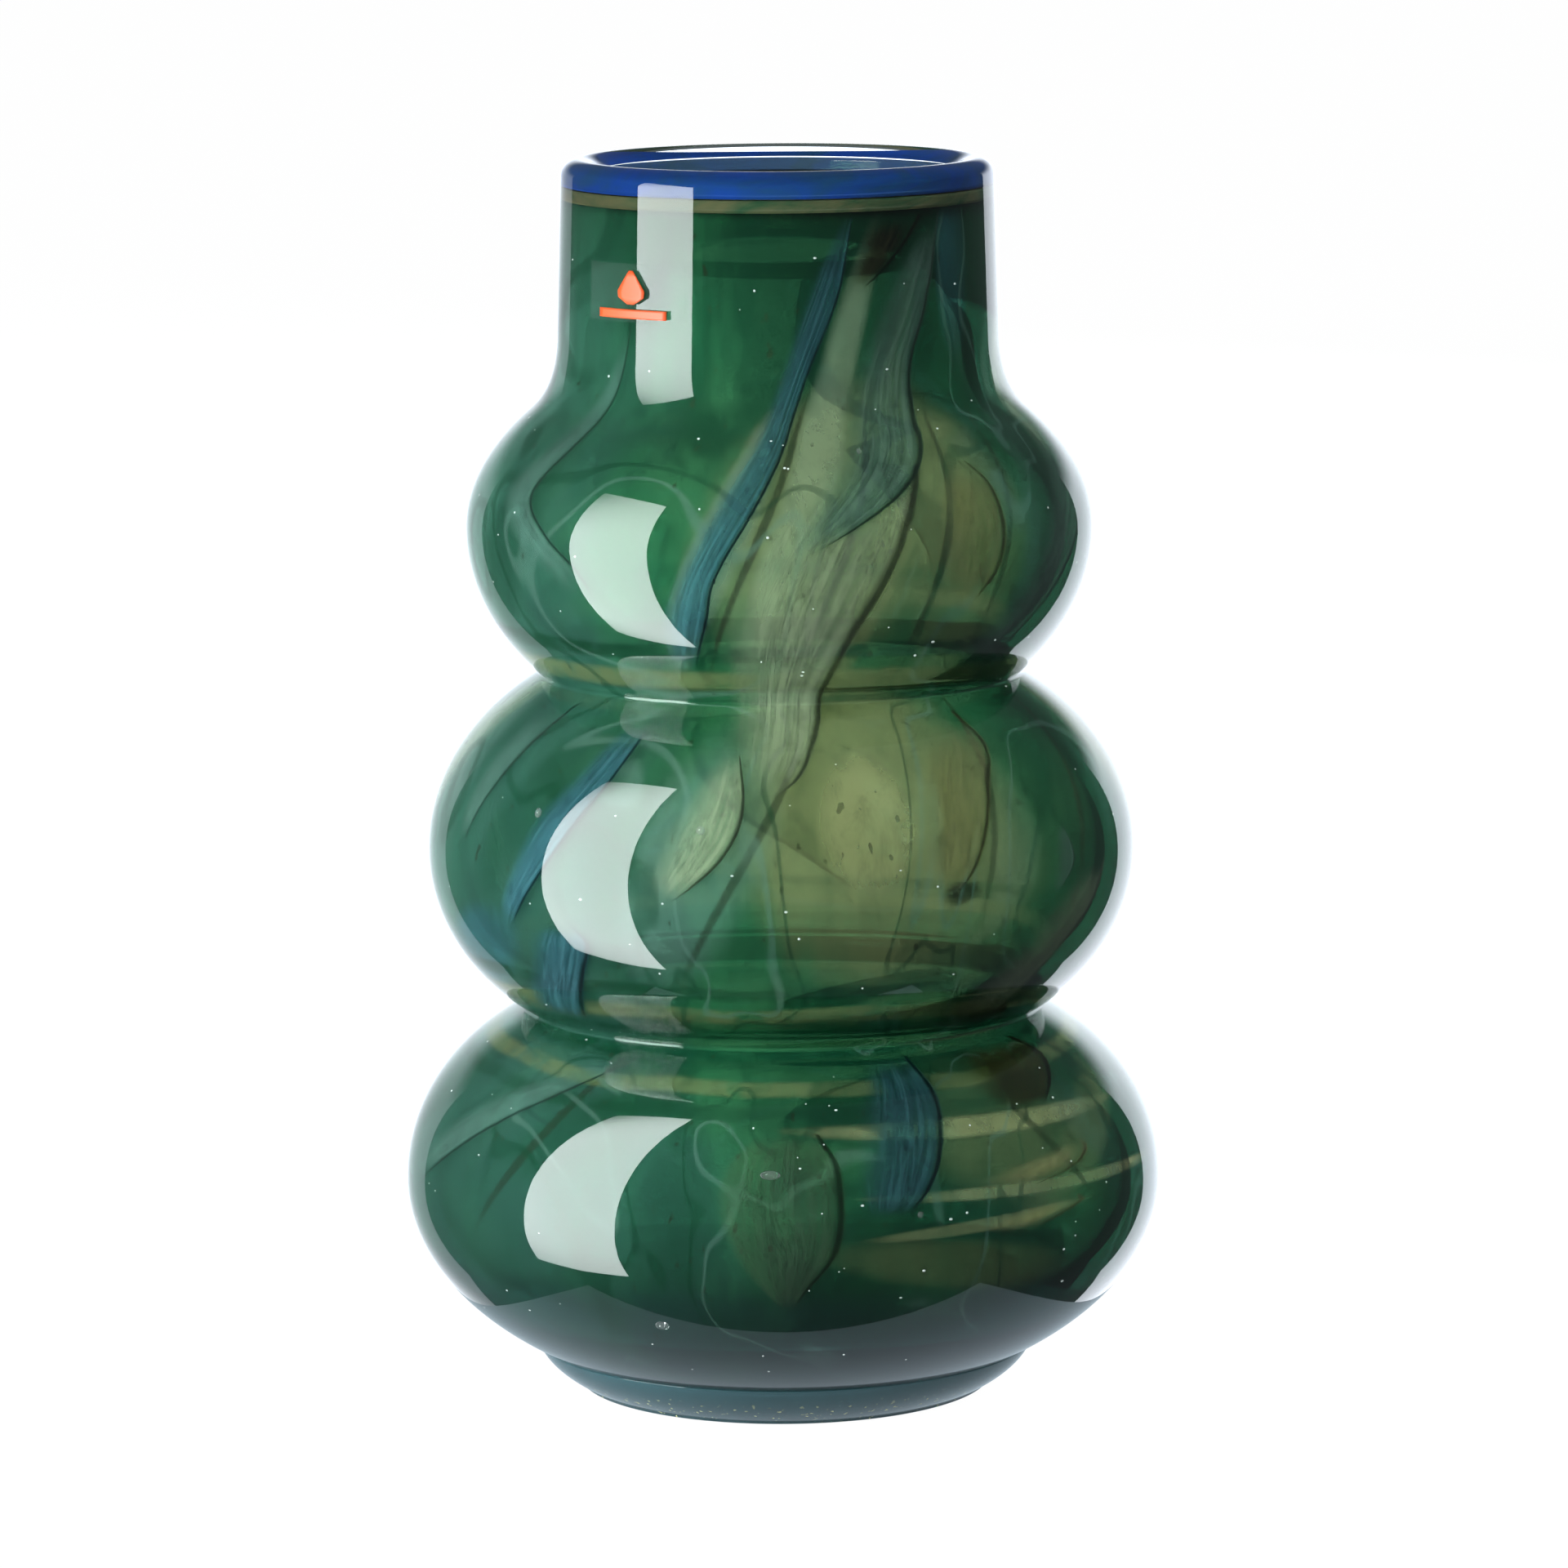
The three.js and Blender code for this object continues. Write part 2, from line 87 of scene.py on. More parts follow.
class VaseShape(bpy.types.PropertyGroup):
    """The outside shape and the layers of the wall."""

    foot_height: length("Foot height", "From the ground to the foot's crease", 8.9 * MM)
    foot_base_radius: length("Foot base radius", "Radius of the flat underside", 42.1 * MM)
    foot_top_radius: length("Foot top radius", "Radius at the crease over the foot", 50.8 * MM)
    foot_swell: length("Foot swell", "How far the foot's flare bows outwards", 2.9 * MM)
    foot_bevel: length("Foot bevel", "Small round under the foot's edge", 0.6 * MM)
    lower_radius: length("Lower bulge radius", "Widest radius of the vase", WIDEST_RADIUS)
    middle_radius: length("Middle bulge radius", "Widest radius of the middle bulge", 71.7 * MM)
    upper_radius: length("Upper bulge radius", "Widest radius of the upper bulge", 63.3 * MM)
    lower_waist_radius: length("Lower waist radius", "Radius of the lower crease", 52.2 * MM)
    upper_waist_radius: length("Upper waist radius", "Radius of the upper crease", 48.6 * MM)
    shoulder_radius: length("Shoulder radius", "Where the upper bulge turns hollow", 49.9 * MM)
    neck_base_radius: length("Neck base radius", "Neck radius just above the shoulder", 44.5 * MM)
    neck_top_radius: length("Neck top radius", "Neck radius just under the lip", 43.5 * MM)
    lip_rise: length("Lip rise", "Height of the lip's half round", LIP_RISE)
    casing: length("Casing thickness", "Clear glass over everything", 2.6 * MM)
    layer_gap: length("Layer gap", "Clear glass between two layers", 0.4 * MM)
    trail: length("Trail thickness", "Thickness of a trail or a film", 0.8 * MM)
    core: length("Core thickness", "Thickness of the green core", 2.4 * MM)
    floor_height: length("Cavity floor", "Height of the cavity's floor", 19.0 * MM)


class VaseColours(bpy.types.PropertyGroup):
    """The glass colours, as linear values."""

    # Deep green, olive and teal also colour painted light in the core: painted shade on the right
    # side and in the waist creases, paler painted bands beside the creases, and a painted
    # reflection down the left rim.
    green: colour("Green", "The core's own green", (0.026, 0.170, 0.068))
    milk: colour("Milky teal", "Opal glass on the core's left side", (0.048, 0.160, 0.120))
    olive: colour("Olive", "Olive gold clouds in the core", (0.280, 0.330, 0.135))
    deep: colour("Deep green", "The core where it is thick", (0.005, 0.058, 0.026))
    blue: colour("Blue", "Teal blue trails", (0.050, 0.190, 0.235))
    teal: colour("Teal", "Teal trails", (0.180, 0.360, 0.290))
    slate: colour("Slate", "Slate green films", (0.500, 0.620, 0.420))
    mist: colour("Mist", "Faint green ribbons on the left", (0.300, 0.560, 0.480))
    amber: colour("Amber", "Brown gold lobes", (0.660, 0.640, 0.360))
    moss: colour("Moss", "The faint green lobe in the lower bulge", (0.700, 0.860, 0.640))
    umber: colour("Umber", "The brown lobe under the waist", (0.120, 0.130, 0.050))
    dark: colour("Dark", "Brown black films", (0.020, 0.026, 0.012))
    gold: colour("Gold", "Gold streaks", (0.740, 0.720, 0.340))
    cobalt: colour("Cobalt", "Blue glass in the lip", (0.008, 0.050, 0.300))
    foot: colour("Foot", "Slate teal foot", (0.018, 0.046, 0.054))
    ink: colour("Ink", "Print on the label", (0.480, 0.055, 0.010))


# ---- The wall as a row of stations ---------------------------------------------------------------
ARC_STEPS = 26
FAN_STEPS = 7
HOLLOW_STEPS = 14
NECK_STEPS = 10
TURNS = 240
# How many degrees round its ellipse each crease cuts a bulge.
LOWER_CUTS = (49.2, 62.1)
MIDDLE_CUTS = (56.4, 53.7)
UPPER_CUTS = (40.2, 26.0)
# Rises from each crease to the widest line above it, and on to the next crease.
LOWER_RISES = (33.8 * MM, 35.7 * MM)
MIDDLE_RISES = (32.2 * MM, 35.9 * MM)
UPPER_RISES = (29.4 * MM, 24.2 * MM)
SHOULDER_RISE = 15.5 * MM
# Stations of an arc lie closer together near its crease; points of a run keep this far apart.
ARC_CROWDING = 1.2
NEAREST = 0.02 * MM


def bulge_arc(widest, crease, cut):
    """Points (radius, height) of a quarter ellipse from a crease to the widest line."""
    cosine = math.cos(math.radians(cut))
    semi_height = (crease[1] - widest[1]) / math.sin(math.radians(cut))
    centre = (crease[0] - widest[0] * cosine) / (1 - cosine)
    shares = [1 - (i / ARC_STEPS) ** ARC_CROWDING for i in range(ARC_STEPS + 1)]
    angles = [math.radians(cut) * share for share in shares]
    return [np.array((centre + (widest[0] - centre) * math.cos(a),
                      widest[1] + semi_height * math.sin(a))) for a in angles]


def whole_bulge(radius, low, rises, high_radius, cuts):
    """A bulge from its lower crease to its upper one."""
    widest = (radius, low[1] + rises[0])
    below = bulge_arc(widest, low, cuts[0])
    above = bulge_arc(widest, (high_radius, widest[1] + rises[1]), cuts[1])
    return below + above[::-1][1:]


def bezier(start, middle, end, steps):
    """Points of a quadratic curve."""
    start, middle, end = (np.array(p) for p in (start, middle, end))
    shares = [i / steps for i in range(steps + 1)]
    return [start * (1 - t) ** 2 + middle * 2 * t * (1 - t) + end * t ** 2 for t in shares]


class Wall:
    """The wall's stations: points of the outside profile, each with its inward normal."""

    def __init__(self, shape):
        self.shape = shape
        self.trail_depth = shape.casing + shape.layer_gap
        self.film_depth = self.trail_depth + shape.trail + shape.layer_gap
        self.core_depth = self.film_depth + shape.trail + shape.layer_gap
        self.thickness = self.core_depth + shape.core
        self.lip_start = VASE_HEIGHT - shape.lip_rise
        crease = np.array((shape.foot_top_radius, shape.foot_height))
        lower = whole_bulge(shape.lower_radius, crease, LOWER_RISES, shape.lower_waist_radius,
                            LOWER_CUTS)
        middle = whole_bulge(shape.middle_radius, lower[-1], MIDDLE_RISES,
                             shape.upper_waist_radius, MIDDLE_CUTS)
        upper = whole_bulge(shape.upper_radius, middle[-1], UPPER_RISES, shape.shoulder_radius,
                            UPPER_CUTS)
        runs = [lower, middle, upper + self.neck_run(upper[-2], upper[-1])]
        self.points, self.normals = [], []
        for run in runs:
            along = [run[min(i + 1, len(run) - 1)] - run[max(i - 1, 0)] for i in range(len(run))]
            inward = [np.array((-a[1], a[0])) / np.linalg.norm(a) for a in along]
            if self.points:
                self.fan(run[0], self.normals[-1], inward[0])
            self.points += run
            self.normals += inward
        self.points = np.array(self.points)
        self.normals = np.array(self.normals)

    def neck_run(self, before, end):
        """The hollow over the shoulder and the straight neck up to the lip."""
        shape = self.shape
        base = shape.neck_base_radius
        neck_base = end[1] + SHOULDER_RISE
        reach = (end[0] - base) / (before[0] - end[0])
        hollow = bezier(end, (base, end[1] + (end[1] - before[1]) * reach), (base, neck_base),
                        HOLLOW_STEPS)
        top = np.array((shape.neck_top_radius, self.lip_start))
        neck = [hollow[-1] + (top - hollow[-1]) * i / NECK_STEPS for i in range(1, NECK_STEPS + 1)]
        return hollow[1:] + neck

    def fan(self, point, below, above):
        """Stations of a crease, turning from the normal below it to the one above."""
        start, end = (math.atan2(n[1], n[0]) for n in (below, above))
        turn = (end - start + math.pi) % (2 * math.pi) - math.pi
        for i in range(1, FAN_STEPS):
            angle = start + turn * i / FAN_STEPS
            self.points.append(point)
            self.normals.append(np.array((math.cos(angle), math.sin(angle))))

    def at(self, number, depth):
        """The point (radius, height) at a whole or part station number and a depth."""
        low = min(int(number), len(self.points) - 2)
        part = number - low
        places = self.points[low:low + 2] + self.normals[low:low + 2] * depth
        return places[0] * (1 - part) + places[1] * part

    def station(self, height):
        """The part station number at which the outside reaches a height."""
        heights = self.points[:, 1]
        for i in range(len(heights) - 1):
            if height <= heights[i + 1] and heights[i + 1] > heights[i]:
                return i + max(height - heights[i], 0) / (heights[i + 1] - heights[i])
        return len(heights) - 1

    def run(self, depth, low, high):
        """The profile at a depth between two outside heights, with no point twice."""
        first, last = self.station(low), self.station(high)
        numbers = [first, *range(int(first) + 1, math.ceil(last)), last]
        result = []
        for number in numbers:
            place = self.at(number, depth)
            if not result or np.linalg.norm(place - result[-1]) > NEAREST:
                result.append(place)
        return result

    def neck_radius(self, height, depth):
        """The neck's radius at a depth, on its straight part."""
        shape = self.shape
        base = self.lip_start - NECK_RISE
        part = (height - base) / NECK_RISE
        return shape.neck_base_radius * (1 - part) + shape.neck_top_radius * part - depth


# ---- Shader expressions --------------------------------------------------------------------------
class Value:
    """A shader socket on which plain arithmetic adds Math nodes."""

    def __init__(self, recipe, socket):
        self.recipe = recipe
        self.socket = socket

    def maths(self, operation, first, second=0.0):
        return self.recipe.node("ShaderNodeMath", {"operation": operation}, {0: first, 1: second})

    def __add__(self, other):
        return self.maths("ADD", self, other)

    def __sub__(self, other):
        return self.maths("SUBTRACT", self, other)

    def __rsub__(self, other):
        return self.maths("SUBTRACT", other, self)

    def __mul__(self, other):
        return self.maths("MULTIPLY", self, other)

    def __truediv__(self, other):
        return self.maths("DIVIDE", self, other)

    def __abs__(self):
        return self.maths("ABSOLUTE", self)

    __radd__ = __add__
    __rmul__ = __mul__


WHITE = (1.0, 1.0, 1.0)
# How strongly light bends where glass meets air, and where it only passes into other glass.
GLASS_IOR = 1.5
INNER_IOR = 1.0
# The lean, in degrees, at which the glass was drawn out.
DRAWN = 28.0
# How far noise pushes the edge of a soft oval in and out.
RAGGED = 1.6


class Recipe:
    """A material, or the world, and the nodes that mix it."""

    def __init__(self, name, shelf=None):
        self.block = (bpy.data.materials if shelf is None else shelf).new(name)
        self.block.use_nodes = True
        self.tree = self.block.node_tree
        self.tree.nodes.clear()

    def node(self, kind, settings=None, inputs=None, output=0):
        """Adds a node: its settings first, then the values or links of its sockets."""
        made = self.tree.nodes.new(kind)
        for name, value in (settings or {}).items():
            setattr(made, name, value)
        for name, value in (inputs or {}).items():
            if isinstance(value, Value):
                self.tree.links.new(value.socket, made.inputs[name])
            else:
                made.inputs[name].default_value = value
        return None if output is None else Value(self, made.outputs[output])

    def place(self):
        """The three object coordinates, in metres."""
        here = self.node("ShaderNodeTexCoord", output="Object")
        across = self.node("ShaderNodeSeparateXYZ", {}, {0: here})
        return [Value(self, socket) for socket in across.socket.node.outputs]

    def smooth(self, value, low, high):
        """A smooth step from 0 at low to 1 at high."""
        settings = {"interpolation_type": "SMOOTHSTEP"}
        return self.node("ShaderNodeMapRange", settings, {0: value, 1: low, 2: high})

    def blend(self, factor, first, second):
        """The first colour where the factor is 0, the second where it is 1."""
        settings = {"data_type": "RGBA"}
        first, second = (c if isinstance(c, Value) else (*c, 1.0) for c in (first, second))
        return self.node("ShaderNodeMix", settings, {0: factor, 6: first, 7: second}, 2)

    def noise(self, scale, detail=3.0, rough=0.55, stretch=(1.0, 1.0, 1.0), turn=0.0, twist=0.0):
        """Soft noise in the glass, drawn out along a tilted direction by the stretch."""
        here = self.node("ShaderNodeTexCoord", output="Object")
        drawn = self.node("ShaderNodeMapping", {}, {
            0: here, "Rotation": (0.0, math.radians(turn), 0.0), "Scale": stretch})
        return self.node("ShaderNodeTexNoise", {}, {
            "Vector": drawn, "Scale": scale, "Detail": detail, "Roughness": rough,
            "Distortion": twist})

    def patch(self, azimuth, height, half_azimuth, half_height, lean, soft, edge):
        """A soft leaning oval on the wall with a ragged edge: 1 inside, 0 outside."""
        x, y, z = self.place()
        sine, cosine = math.sin(math.radians(azimuth)), math.cos(math.radians(azimuth))
        turned = x.maths("ARCTAN2", x * cosine + y * sine, x * sine - y * cosine)
        up = (z - height * MM) / (half_height * MM)
        across = turned / math.radians(half_azimuth) - up * lean
        distance = across * across + up * up + (edge - 0.5) * RAGGED
        return self.smooth(distance, 1.0 + soft, 1.0 - soft)

    def bump(self, height, strength, distance):
        """A normal that follows a height."""
        return self.node("ShaderNodeBump", {}, {
            "Strength": strength, "Distance": distance, "Height": height}, "Normal")

    def glass(self, tint, clear=1.0, ior=GLASS_IOR, rough=0.0, normal=None):
        """Glass of a tint that lets a share of the light through and scatters the rest."""
        inputs = {"Base Color": tint if isinstance(tint, Value) else (*tint, 1.0),
                  "Transmission Weight": clear, "IOR": ior, "Roughness": rough}
        if normal is not None:
            inputs["Normal"] = normal
        return self.node("ShaderNodeBsdfPrincipled", {}, inputs)

    def lit_through(self, shader, tint):
        """The shader, with lamp light let through to what lies behind it."""
        open_glass = self.node("ShaderNodeBsdfTransparent", {}, {"Color": (*tint, 1.0)})
        return self.mix(self.ray("Is Shadow Ray"), shader, open_glass)

    def ray(self, question):
        """1 for rays of one kind, 0 for others."""
        return self.node("ShaderNodeLightPath", output=question)

    def mix(self, factor, first, second):
        """The first shader where the factor is 0, the second where it is 1."""
        return self.node("ShaderNodeMixShader", {}, {0: factor, 1: first, 2: second})

    def clear(self):
        """Lets all light straight through."""
        return self.node("ShaderNodeBsdfTransparent")

    def glow(self, kind, tint, strength):
        """An even glow of this kind of node."""
        return self.node(kind, {}, {"Color": (*tint, 1.0), "Strength": strength})

    def done(self, shader, end="ShaderNodeOutputMaterial"):
        """Ends the tree in this shader."""
        self.node(end, {}, {"Surface": shader}, None)
        return self.block


# ---- Glass ---------------------------------------------------------------------------------------
CASING_TINT = (0.93, 0.965, 0.965)


def hand_waves(recipe, strength=0.12):
    """The faint unevenness of a hand blown skin."""
    broad = recipe.noise(16.0, 1.0, stretch=(1.0, 1.0, 0.6), turn=20.0)
    return recipe.bump(broad, strength, 3.0 * MM)


def casing_glass():
    """The clear outside skin and lip."""
    recipe = Recipe("casing glass")
    cloud = recipe.noise(30.0, 2.0)
    tint = recipe.blend(cloud, CASING_TINT, (0.97, 0.98, 0.985))
    shader = recipe.glass(tint, normal=hand_waves(recipe))
    return recipe.done(recipe.lit_through(shader, (0.92, 0.95, 0.95)))


def joined_glass():
    """Where the casing's inside has fused to the layer below it, so light passes straight on."""
    recipe = Recipe("fused glass")
    cloud = recipe.noise(40.0, 1.0)
    haze = recipe.glass(recipe.blend(cloud, (0.97, 0.98, 0.98), WHITE), 1.0, INNER_IOR)
    return recipe.done(recipe.mix(cloud * 0.1, recipe.clear(), haze))


def core_tint(recipe, colours):
    """The green core's clouds: milky on the left, olive gold right of the front, deep elsewhere,
    with a painted reflection down the left rim, painted shade on the right side and painted shade
    and paler painted bands along the waists.
    """
    streak = recipe.noise(24.0, 5.0, 0.6, (1.0, 1.0, 0.35), DRAWN, 0.9)
    fine = recipe.noise(150.0, 4.0, 0.7, (1.0, 1.0, 0.2), DRAWN, 0.4)
    seam = recipe.noise(15.0, 2.0, 0.5, (1.0, 1.0, 0.45), DRAWN, 1.4)
    tint = recipe.blend(recipe.smooth(streak, 0.40, 0.62), tuple(colours.deep),
                        tuple(colours.green))
    milk = recipe.patch(-74.0, 105.0, 44.0, 150.0, 0.0, 0.8, streak)
    tint = recipe.blend(milk * 0.68, tint, tuple(colours.milk))
    for azimuth, height, wide, high, lean, weight, name in CORE_CLOUDS_AND_PAINTED_LIGHT:
        cloud = recipe.patch(azimuth, height, wide, high, lean, 0.7, streak)
        tint = recipe.blend(cloud * weight, tint, tuple(getattr(colours, name)))
    height = recipe.place()[2] + (seam - 0.5) * (3.5 * MM)
    # Painted shade and paler painted bands along the waist creases, broken up by fine noise.
    for centre, half, weight, name in PAINTED_WAIST_RINGS:
        painted_crease_ring = recipe.smooth(abs(height - centre * MM), half * MM, 0.35 * half * MM)
        tint = recipe.blend(painted_crease_ring * recipe.smooth(fine, 0.2, 0.6) * weight, tint,
                            tuple(getattr(colours, name)))
    tint = recipe.blend(recipe.smooth(abs(seam - 0.5), 0.012, 0.004) * 0.55, tint,
                        tuple(colours.deep))
    tint = recipe.blend(recipe.smooth(abs(seam - 0.56), 0.012, 0.002) * 0.35, tint,
                        tuple(colours.teal))
    tint = recipe.blend(recipe.smooth(fine, 0.42, 0.75) * 0.4, tint, tuple(colours.deep))
    pits = recipe.noise(520.0, 1.0, 0.5, (1.0, 1.0, 0.6), DRAWN)
    return recipe.blend(recipe.smooth(pits, 0.70, 0.78) * 0.6, tint, tuple(colours.dark))


# Azimuth, height, half width in degrees, half height in millimetres, lean, strength and colour.
# Most rows are clouds in the glass; one row paints a reflection down the left rim and one paints
# shade on the right side.
CORE_CLOUDS_AND_PAINTED_LIGHT = (
    (14.0, 182.0, 27.0, 22.0, 0.3, 0.75, "olive"),
    (40.0, 176.0, 13.0, 20.0, 0.2, 0.7, "olive"),
    (18.0, 122.0, 27.0, 27.0, -0.2, 0.95, "olive"),
    (15.0, 124.0, 8.0, 11.0, 0.0, 0.45, "gold"),
    (-14.0, 118.0, 11.0, 22.0, 0.5, 0.5, "teal"),
    (44.0, 60.0, 19.0, 13.0, -0.3, 0.32, "olive"),
    (-20.0, 46.0, 26.0, 18.0, 0.0, 0.35, "milk"),
    (0.0, 24.0, 180.0, 9.0, 0.0, 0.5, "foot"),
    # Painted reflection: a full height teal band lightens the left rim, on the side of the strip
    # lamp.
    (-88.0, 150.0, 15.0, 150.0, 0.0, 0.5, "teal"),
    (8.0, 192.0, 5.0, 38.0, 3.2, 0.42, "slate"),
    (24.0, 186.0, 4.0, 34.0, 3.2, 0.30, "gold"),
    (56.0, 230.0, 6.0, 15.0, 0.0, 0.7, "blue"),
    (-12.0, 178.0, 5.0, 20.0, 1.8, 0.55, "slate"),
    (60.0, 180.0, 6.0, 28.0, 1.5, 0.5, "teal"),
    # Painted shade: a full height deep green band darkens the right side, away from the strip lamp.
    (76.0, 130.0, 28.0, 130.0, 0.0, 0.78, "deep"),
    (-62.0, 178.0, 8.0, 19.0, 1.2, 0.55, "deep"),
    (-47.0, 128.0, 7.0, 18.0, 1.5, 0.50, "deep"),
    (-67.0, 96.0, 11.0, 8.0, 0.7, 0.55, "blue"),
    (-33.0, 62.0, 10.0, 9.0, 1.0, 0.50, "deep"),
    (-84.0, 60.0, 9.0, 17.0, 1.6, 0.55, "deep"),
    (-98.0, 118.0, 10.0, 26.0, 1.7, 0.60, "slate"),
    (-122.0, 58.0, 15.0, 15.0, -1.0, 0.55, "slate"),
    (-116.0, 180.0, 10.0, 22.0, 1.3, 0.60, "olive"),
    (-140.0, 215.0, 9.0, 26.0, 1.6, 0.50, "teal"),
    (-88.0, 212.0, 7.0, 26.0, 1.5, 0.45, "deep"),
    (98.0, 120.0, 13.0, 24.0, -1.2, 0.65, "olive"),
    (112.0, 182.0, 10.0, 20.0, 1.5, 0.60, "teal"),
    (88.0, 214.0, 8.0, 24.0, 1.4, 0.45, "slate"),
    (104.0, 50.0, 17.0, 11.0, 0.9, 0.60, "blue"),
    (132.0, 112.0, 8.0, 26.0, 1.7, 0.55, "slate"),
    (31.0, 110.5, 3.6, 2.4, 0.2, 0.95, "dark"),
    (45.0, 77.0, 15.0, 3.6, 0.3, 0.8, "dark"),
    (24.0, 68.0, 34.0, 7.0, 0.0, 0.7, "deep"),
    (36.0, 62.0, 24.0, 1.9, -0.8, 0.52, "gold"),
    (46.0, 50.0, 18.0, 1.7, -1.2, 0.52, "gold"),
    (58.0, 56.0, 7.0, 11.0, 2.2, 0.40, "olive"),
    (28.0, 38.0, 15.0, 5.0, -0.7, 0.35, "olive"),
    (34.0, 45.0, 14.0, 1.4, 0.8, 0.35, "gold"),
    (-4.0, 180.0, 0.9, 24.0, 12.0, 0.8, "dark"),
    (12.0, 176.0, 0.9, 26.0, 12.1, 0.8, "dark"),
    (33.0, 178.0, 0.9, 22.0, 7.8, 0.7, "dark"),
    (49.0, 180.0, 0.9, 20.0, 6.7, 0.7, "dark"),
    (-6.0, 118.0, 1.0, 22.0, 11.0, 0.7, "dark"),
    (40.0, 126.0, 0.9, 20.0, 5.5, 0.7, "dark"),
    (62.0, 122.0, 0.9, 22.0, 7.3, 0.6, "dark"),
    (-45.0, 58.0, 1.0, 16.0, 9.6, 0.6, "dark"),
    (48.0, 58.0, 0.9, 12.0, -9.0, 0.7, "dark"),
    (178.0, 120.0, 48.0, 34.0, 0.0, 0.9, "olive"),
    (178.0, 184.0, 44.0, 26.0, 0.0, 0.85, "olive"),
    (160.0, 52.0, 40.0, 20.0, 0.0, 0.5, "olive"),
)
# Height and half width of painted rings along the two waist creases, strength and colour: the deep
# rings are painted shade in the creases, the olive rings paler painted bands of reflected light
# between them.
PAINTED_WAIST_RINGS = (
    (158.5, 2.2, 1.0, "deep"),
    (153.0, 2.6, 0.75, "olive"),
    (148.5, 1.0, 0.60, "deep"),
    (92.5, 1.8, 0.90, "deep"),
    (88.0, 2.0, 0.80, "olive"),
    (84.0, 1.0, 0.70, "deep"),
    (73.5, 2.0, 0.85, "deep"),
    (69.5, 1.4, 0.60, "olive"),
    (66.0, 1.4, 0.60, "deep"),
)


def core_glass(colours):
    """The outside of the green core: coloured, and a little opal, so that it takes side light."""
    recipe = Recipe("green core glass")
    return recipe.done(recipe.glass(core_tint(recipe, colours), 0.62, INNER_IOR))


def cavity_glass(colours):
    """The cavity's skin, where the light leaves the green glass."""
    recipe = Recipe("cavity glass")
    cloud = recipe.noise(22.0, 3.0, 0.6, (1.0, 1.0, 0.5))
    green = tuple(0.5 + 0.5 * c for c in colours.green)
    tint = recipe.blend(cloud, tuple(c * 0.75 for c in green), green)
    return recipe.done(recipe.glass(tint, 0.97, normal=hand_waves(recipe, 0.08)))


def layer_glass(name, tint, cloud, clear, melt):
    """A trail or film: streaks along its length, a fine dark seam down its right edge, and a left
    edge and ends that melt into the green."""
    recipe = Recipe(name)
    outline = recipe.node("ShaderNodeTexCoord", output="UV")
    drawn = recipe.node("ShaderNodeMapping", {}, {0: outline, "Scale": (7.0, 1.0, 1.0)})
    streaks = recipe.node("ShaderNodeTexNoise", {}, {
        "Vector": drawn, "Scale": 1.4, "Detail": 6.0, "Roughness": 0.66, "Distortion": 0.9})
    grain = recipe.noise(330.0, 3.0, 0.75, (1.0, 1.0, 0.3), DRAWN)
    wander = recipe.noise(55.0, 3.0, 0.6, (1.0, 1.0, 0.6), DRAWN, 0.5) - 0.5
    split = recipe.node("ShaderNodeSeparateXYZ", {}, {0: outline}).socket.node
    across, along = (Value(recipe, split.outputs[k]) for k in (0, 1))
    across = across + wander * 0.10
    along = along + wander * 0.16
    seam = recipe.smooth(across, 0.90, 0.955) * recipe.smooth(across, 1.02, 0.97)
    lines = recipe.smooth(abs(streaks - 0.52), 0.016, 0.003)
    here = recipe.blend(recipe.smooth(streaks, 0.34, 0.66), tint, cloud)
    here = recipe.blend(recipe.smooth(grain, 0.45, 0.72) * 0.5, here, tuple(c * 0.45 for c in tint))
    here = recipe.blend(lines * 0.6, here, tuple(c * 0.25 for c in tint))
    here = recipe.blend(seam * 0.85, here, tuple(c * 0.08 for c in tint))
    shader = recipe.lit_through(recipe.glass(here, clear, INNER_IOR),
                                tuple(c ** 0.25 * clear for c in tint))
    left, right, ends = melt
    body = recipe.smooth(across, 0.0, left) * recipe.smooth(across, 1.0, 1.0 - right)
    body = body * recipe.smooth(along, 0.0, ends) * recipe.smooth(along, 1.0, 1.0 - ends)
    body = body * (recipe.smooth(streaks, 0.25, 0.62) * 0.45 + 0.55)
    body = body.maths("MAXIMUM", body, seam * recipe.smooth(along, 0.0, 0.1) * 0.9)
    return recipe.done(recipe.mix(body, recipe.clear(), shader))


def foot_glass(colours):
    """The foot: slate teal with gold specks near the ground."""
    recipe = Recipe("foot glass")
    cloud = recipe.noise(30.0, 4.0, 0.6, (1.0, 1.0, 2.5))
    tint = recipe.blend(cloud, tuple(colours.foot), tuple(1.9 * c for c in colours.foot))
    speck = recipe.noise(900.0, 1.0, 0.5)
    height = recipe.place()[2]
    low = recipe.smooth(height, 7.0 * MM, 1.0 * MM)
    tint = recipe.blend(recipe.smooth(speck, 0.66, 0.74) * low, tint, tuple(colours.gold))
    return recipe.done(recipe.glass(tint, 0.35, GLASS_IOR, 0.03, hand_waves(recipe, 0.15)))


def lip_glass(name, tint, cloud):
    """A coloured ring in the lip."""
    recipe = Recipe(name)
    swirl = recipe.noise(45.0, 4.0, 0.6, (1.0, 1.0, 3.0), 0.0, 1.0)
    tint = recipe.blend(recipe.smooth(swirl, 0.35, 0.7), tint, cloud)
    return recipe.done(recipe.glass(tint, 0.22, INNER_IOR))


def label_film():
    """The label's clear film."""
    recipe = Recipe("label film")
    cloud = recipe.noise(300.0, 2.0)
    tint = recipe.blend(cloud, (0.22, 0.26, 0.26), (0.34, 0.38, 0.38))
    return recipe.done(recipe.node("ShaderNodeBsdfPrincipled", {}, {
        "Base Color": tint, "Alpha": 0.014, "Roughness": 0.12, "IOR": 1.48}))


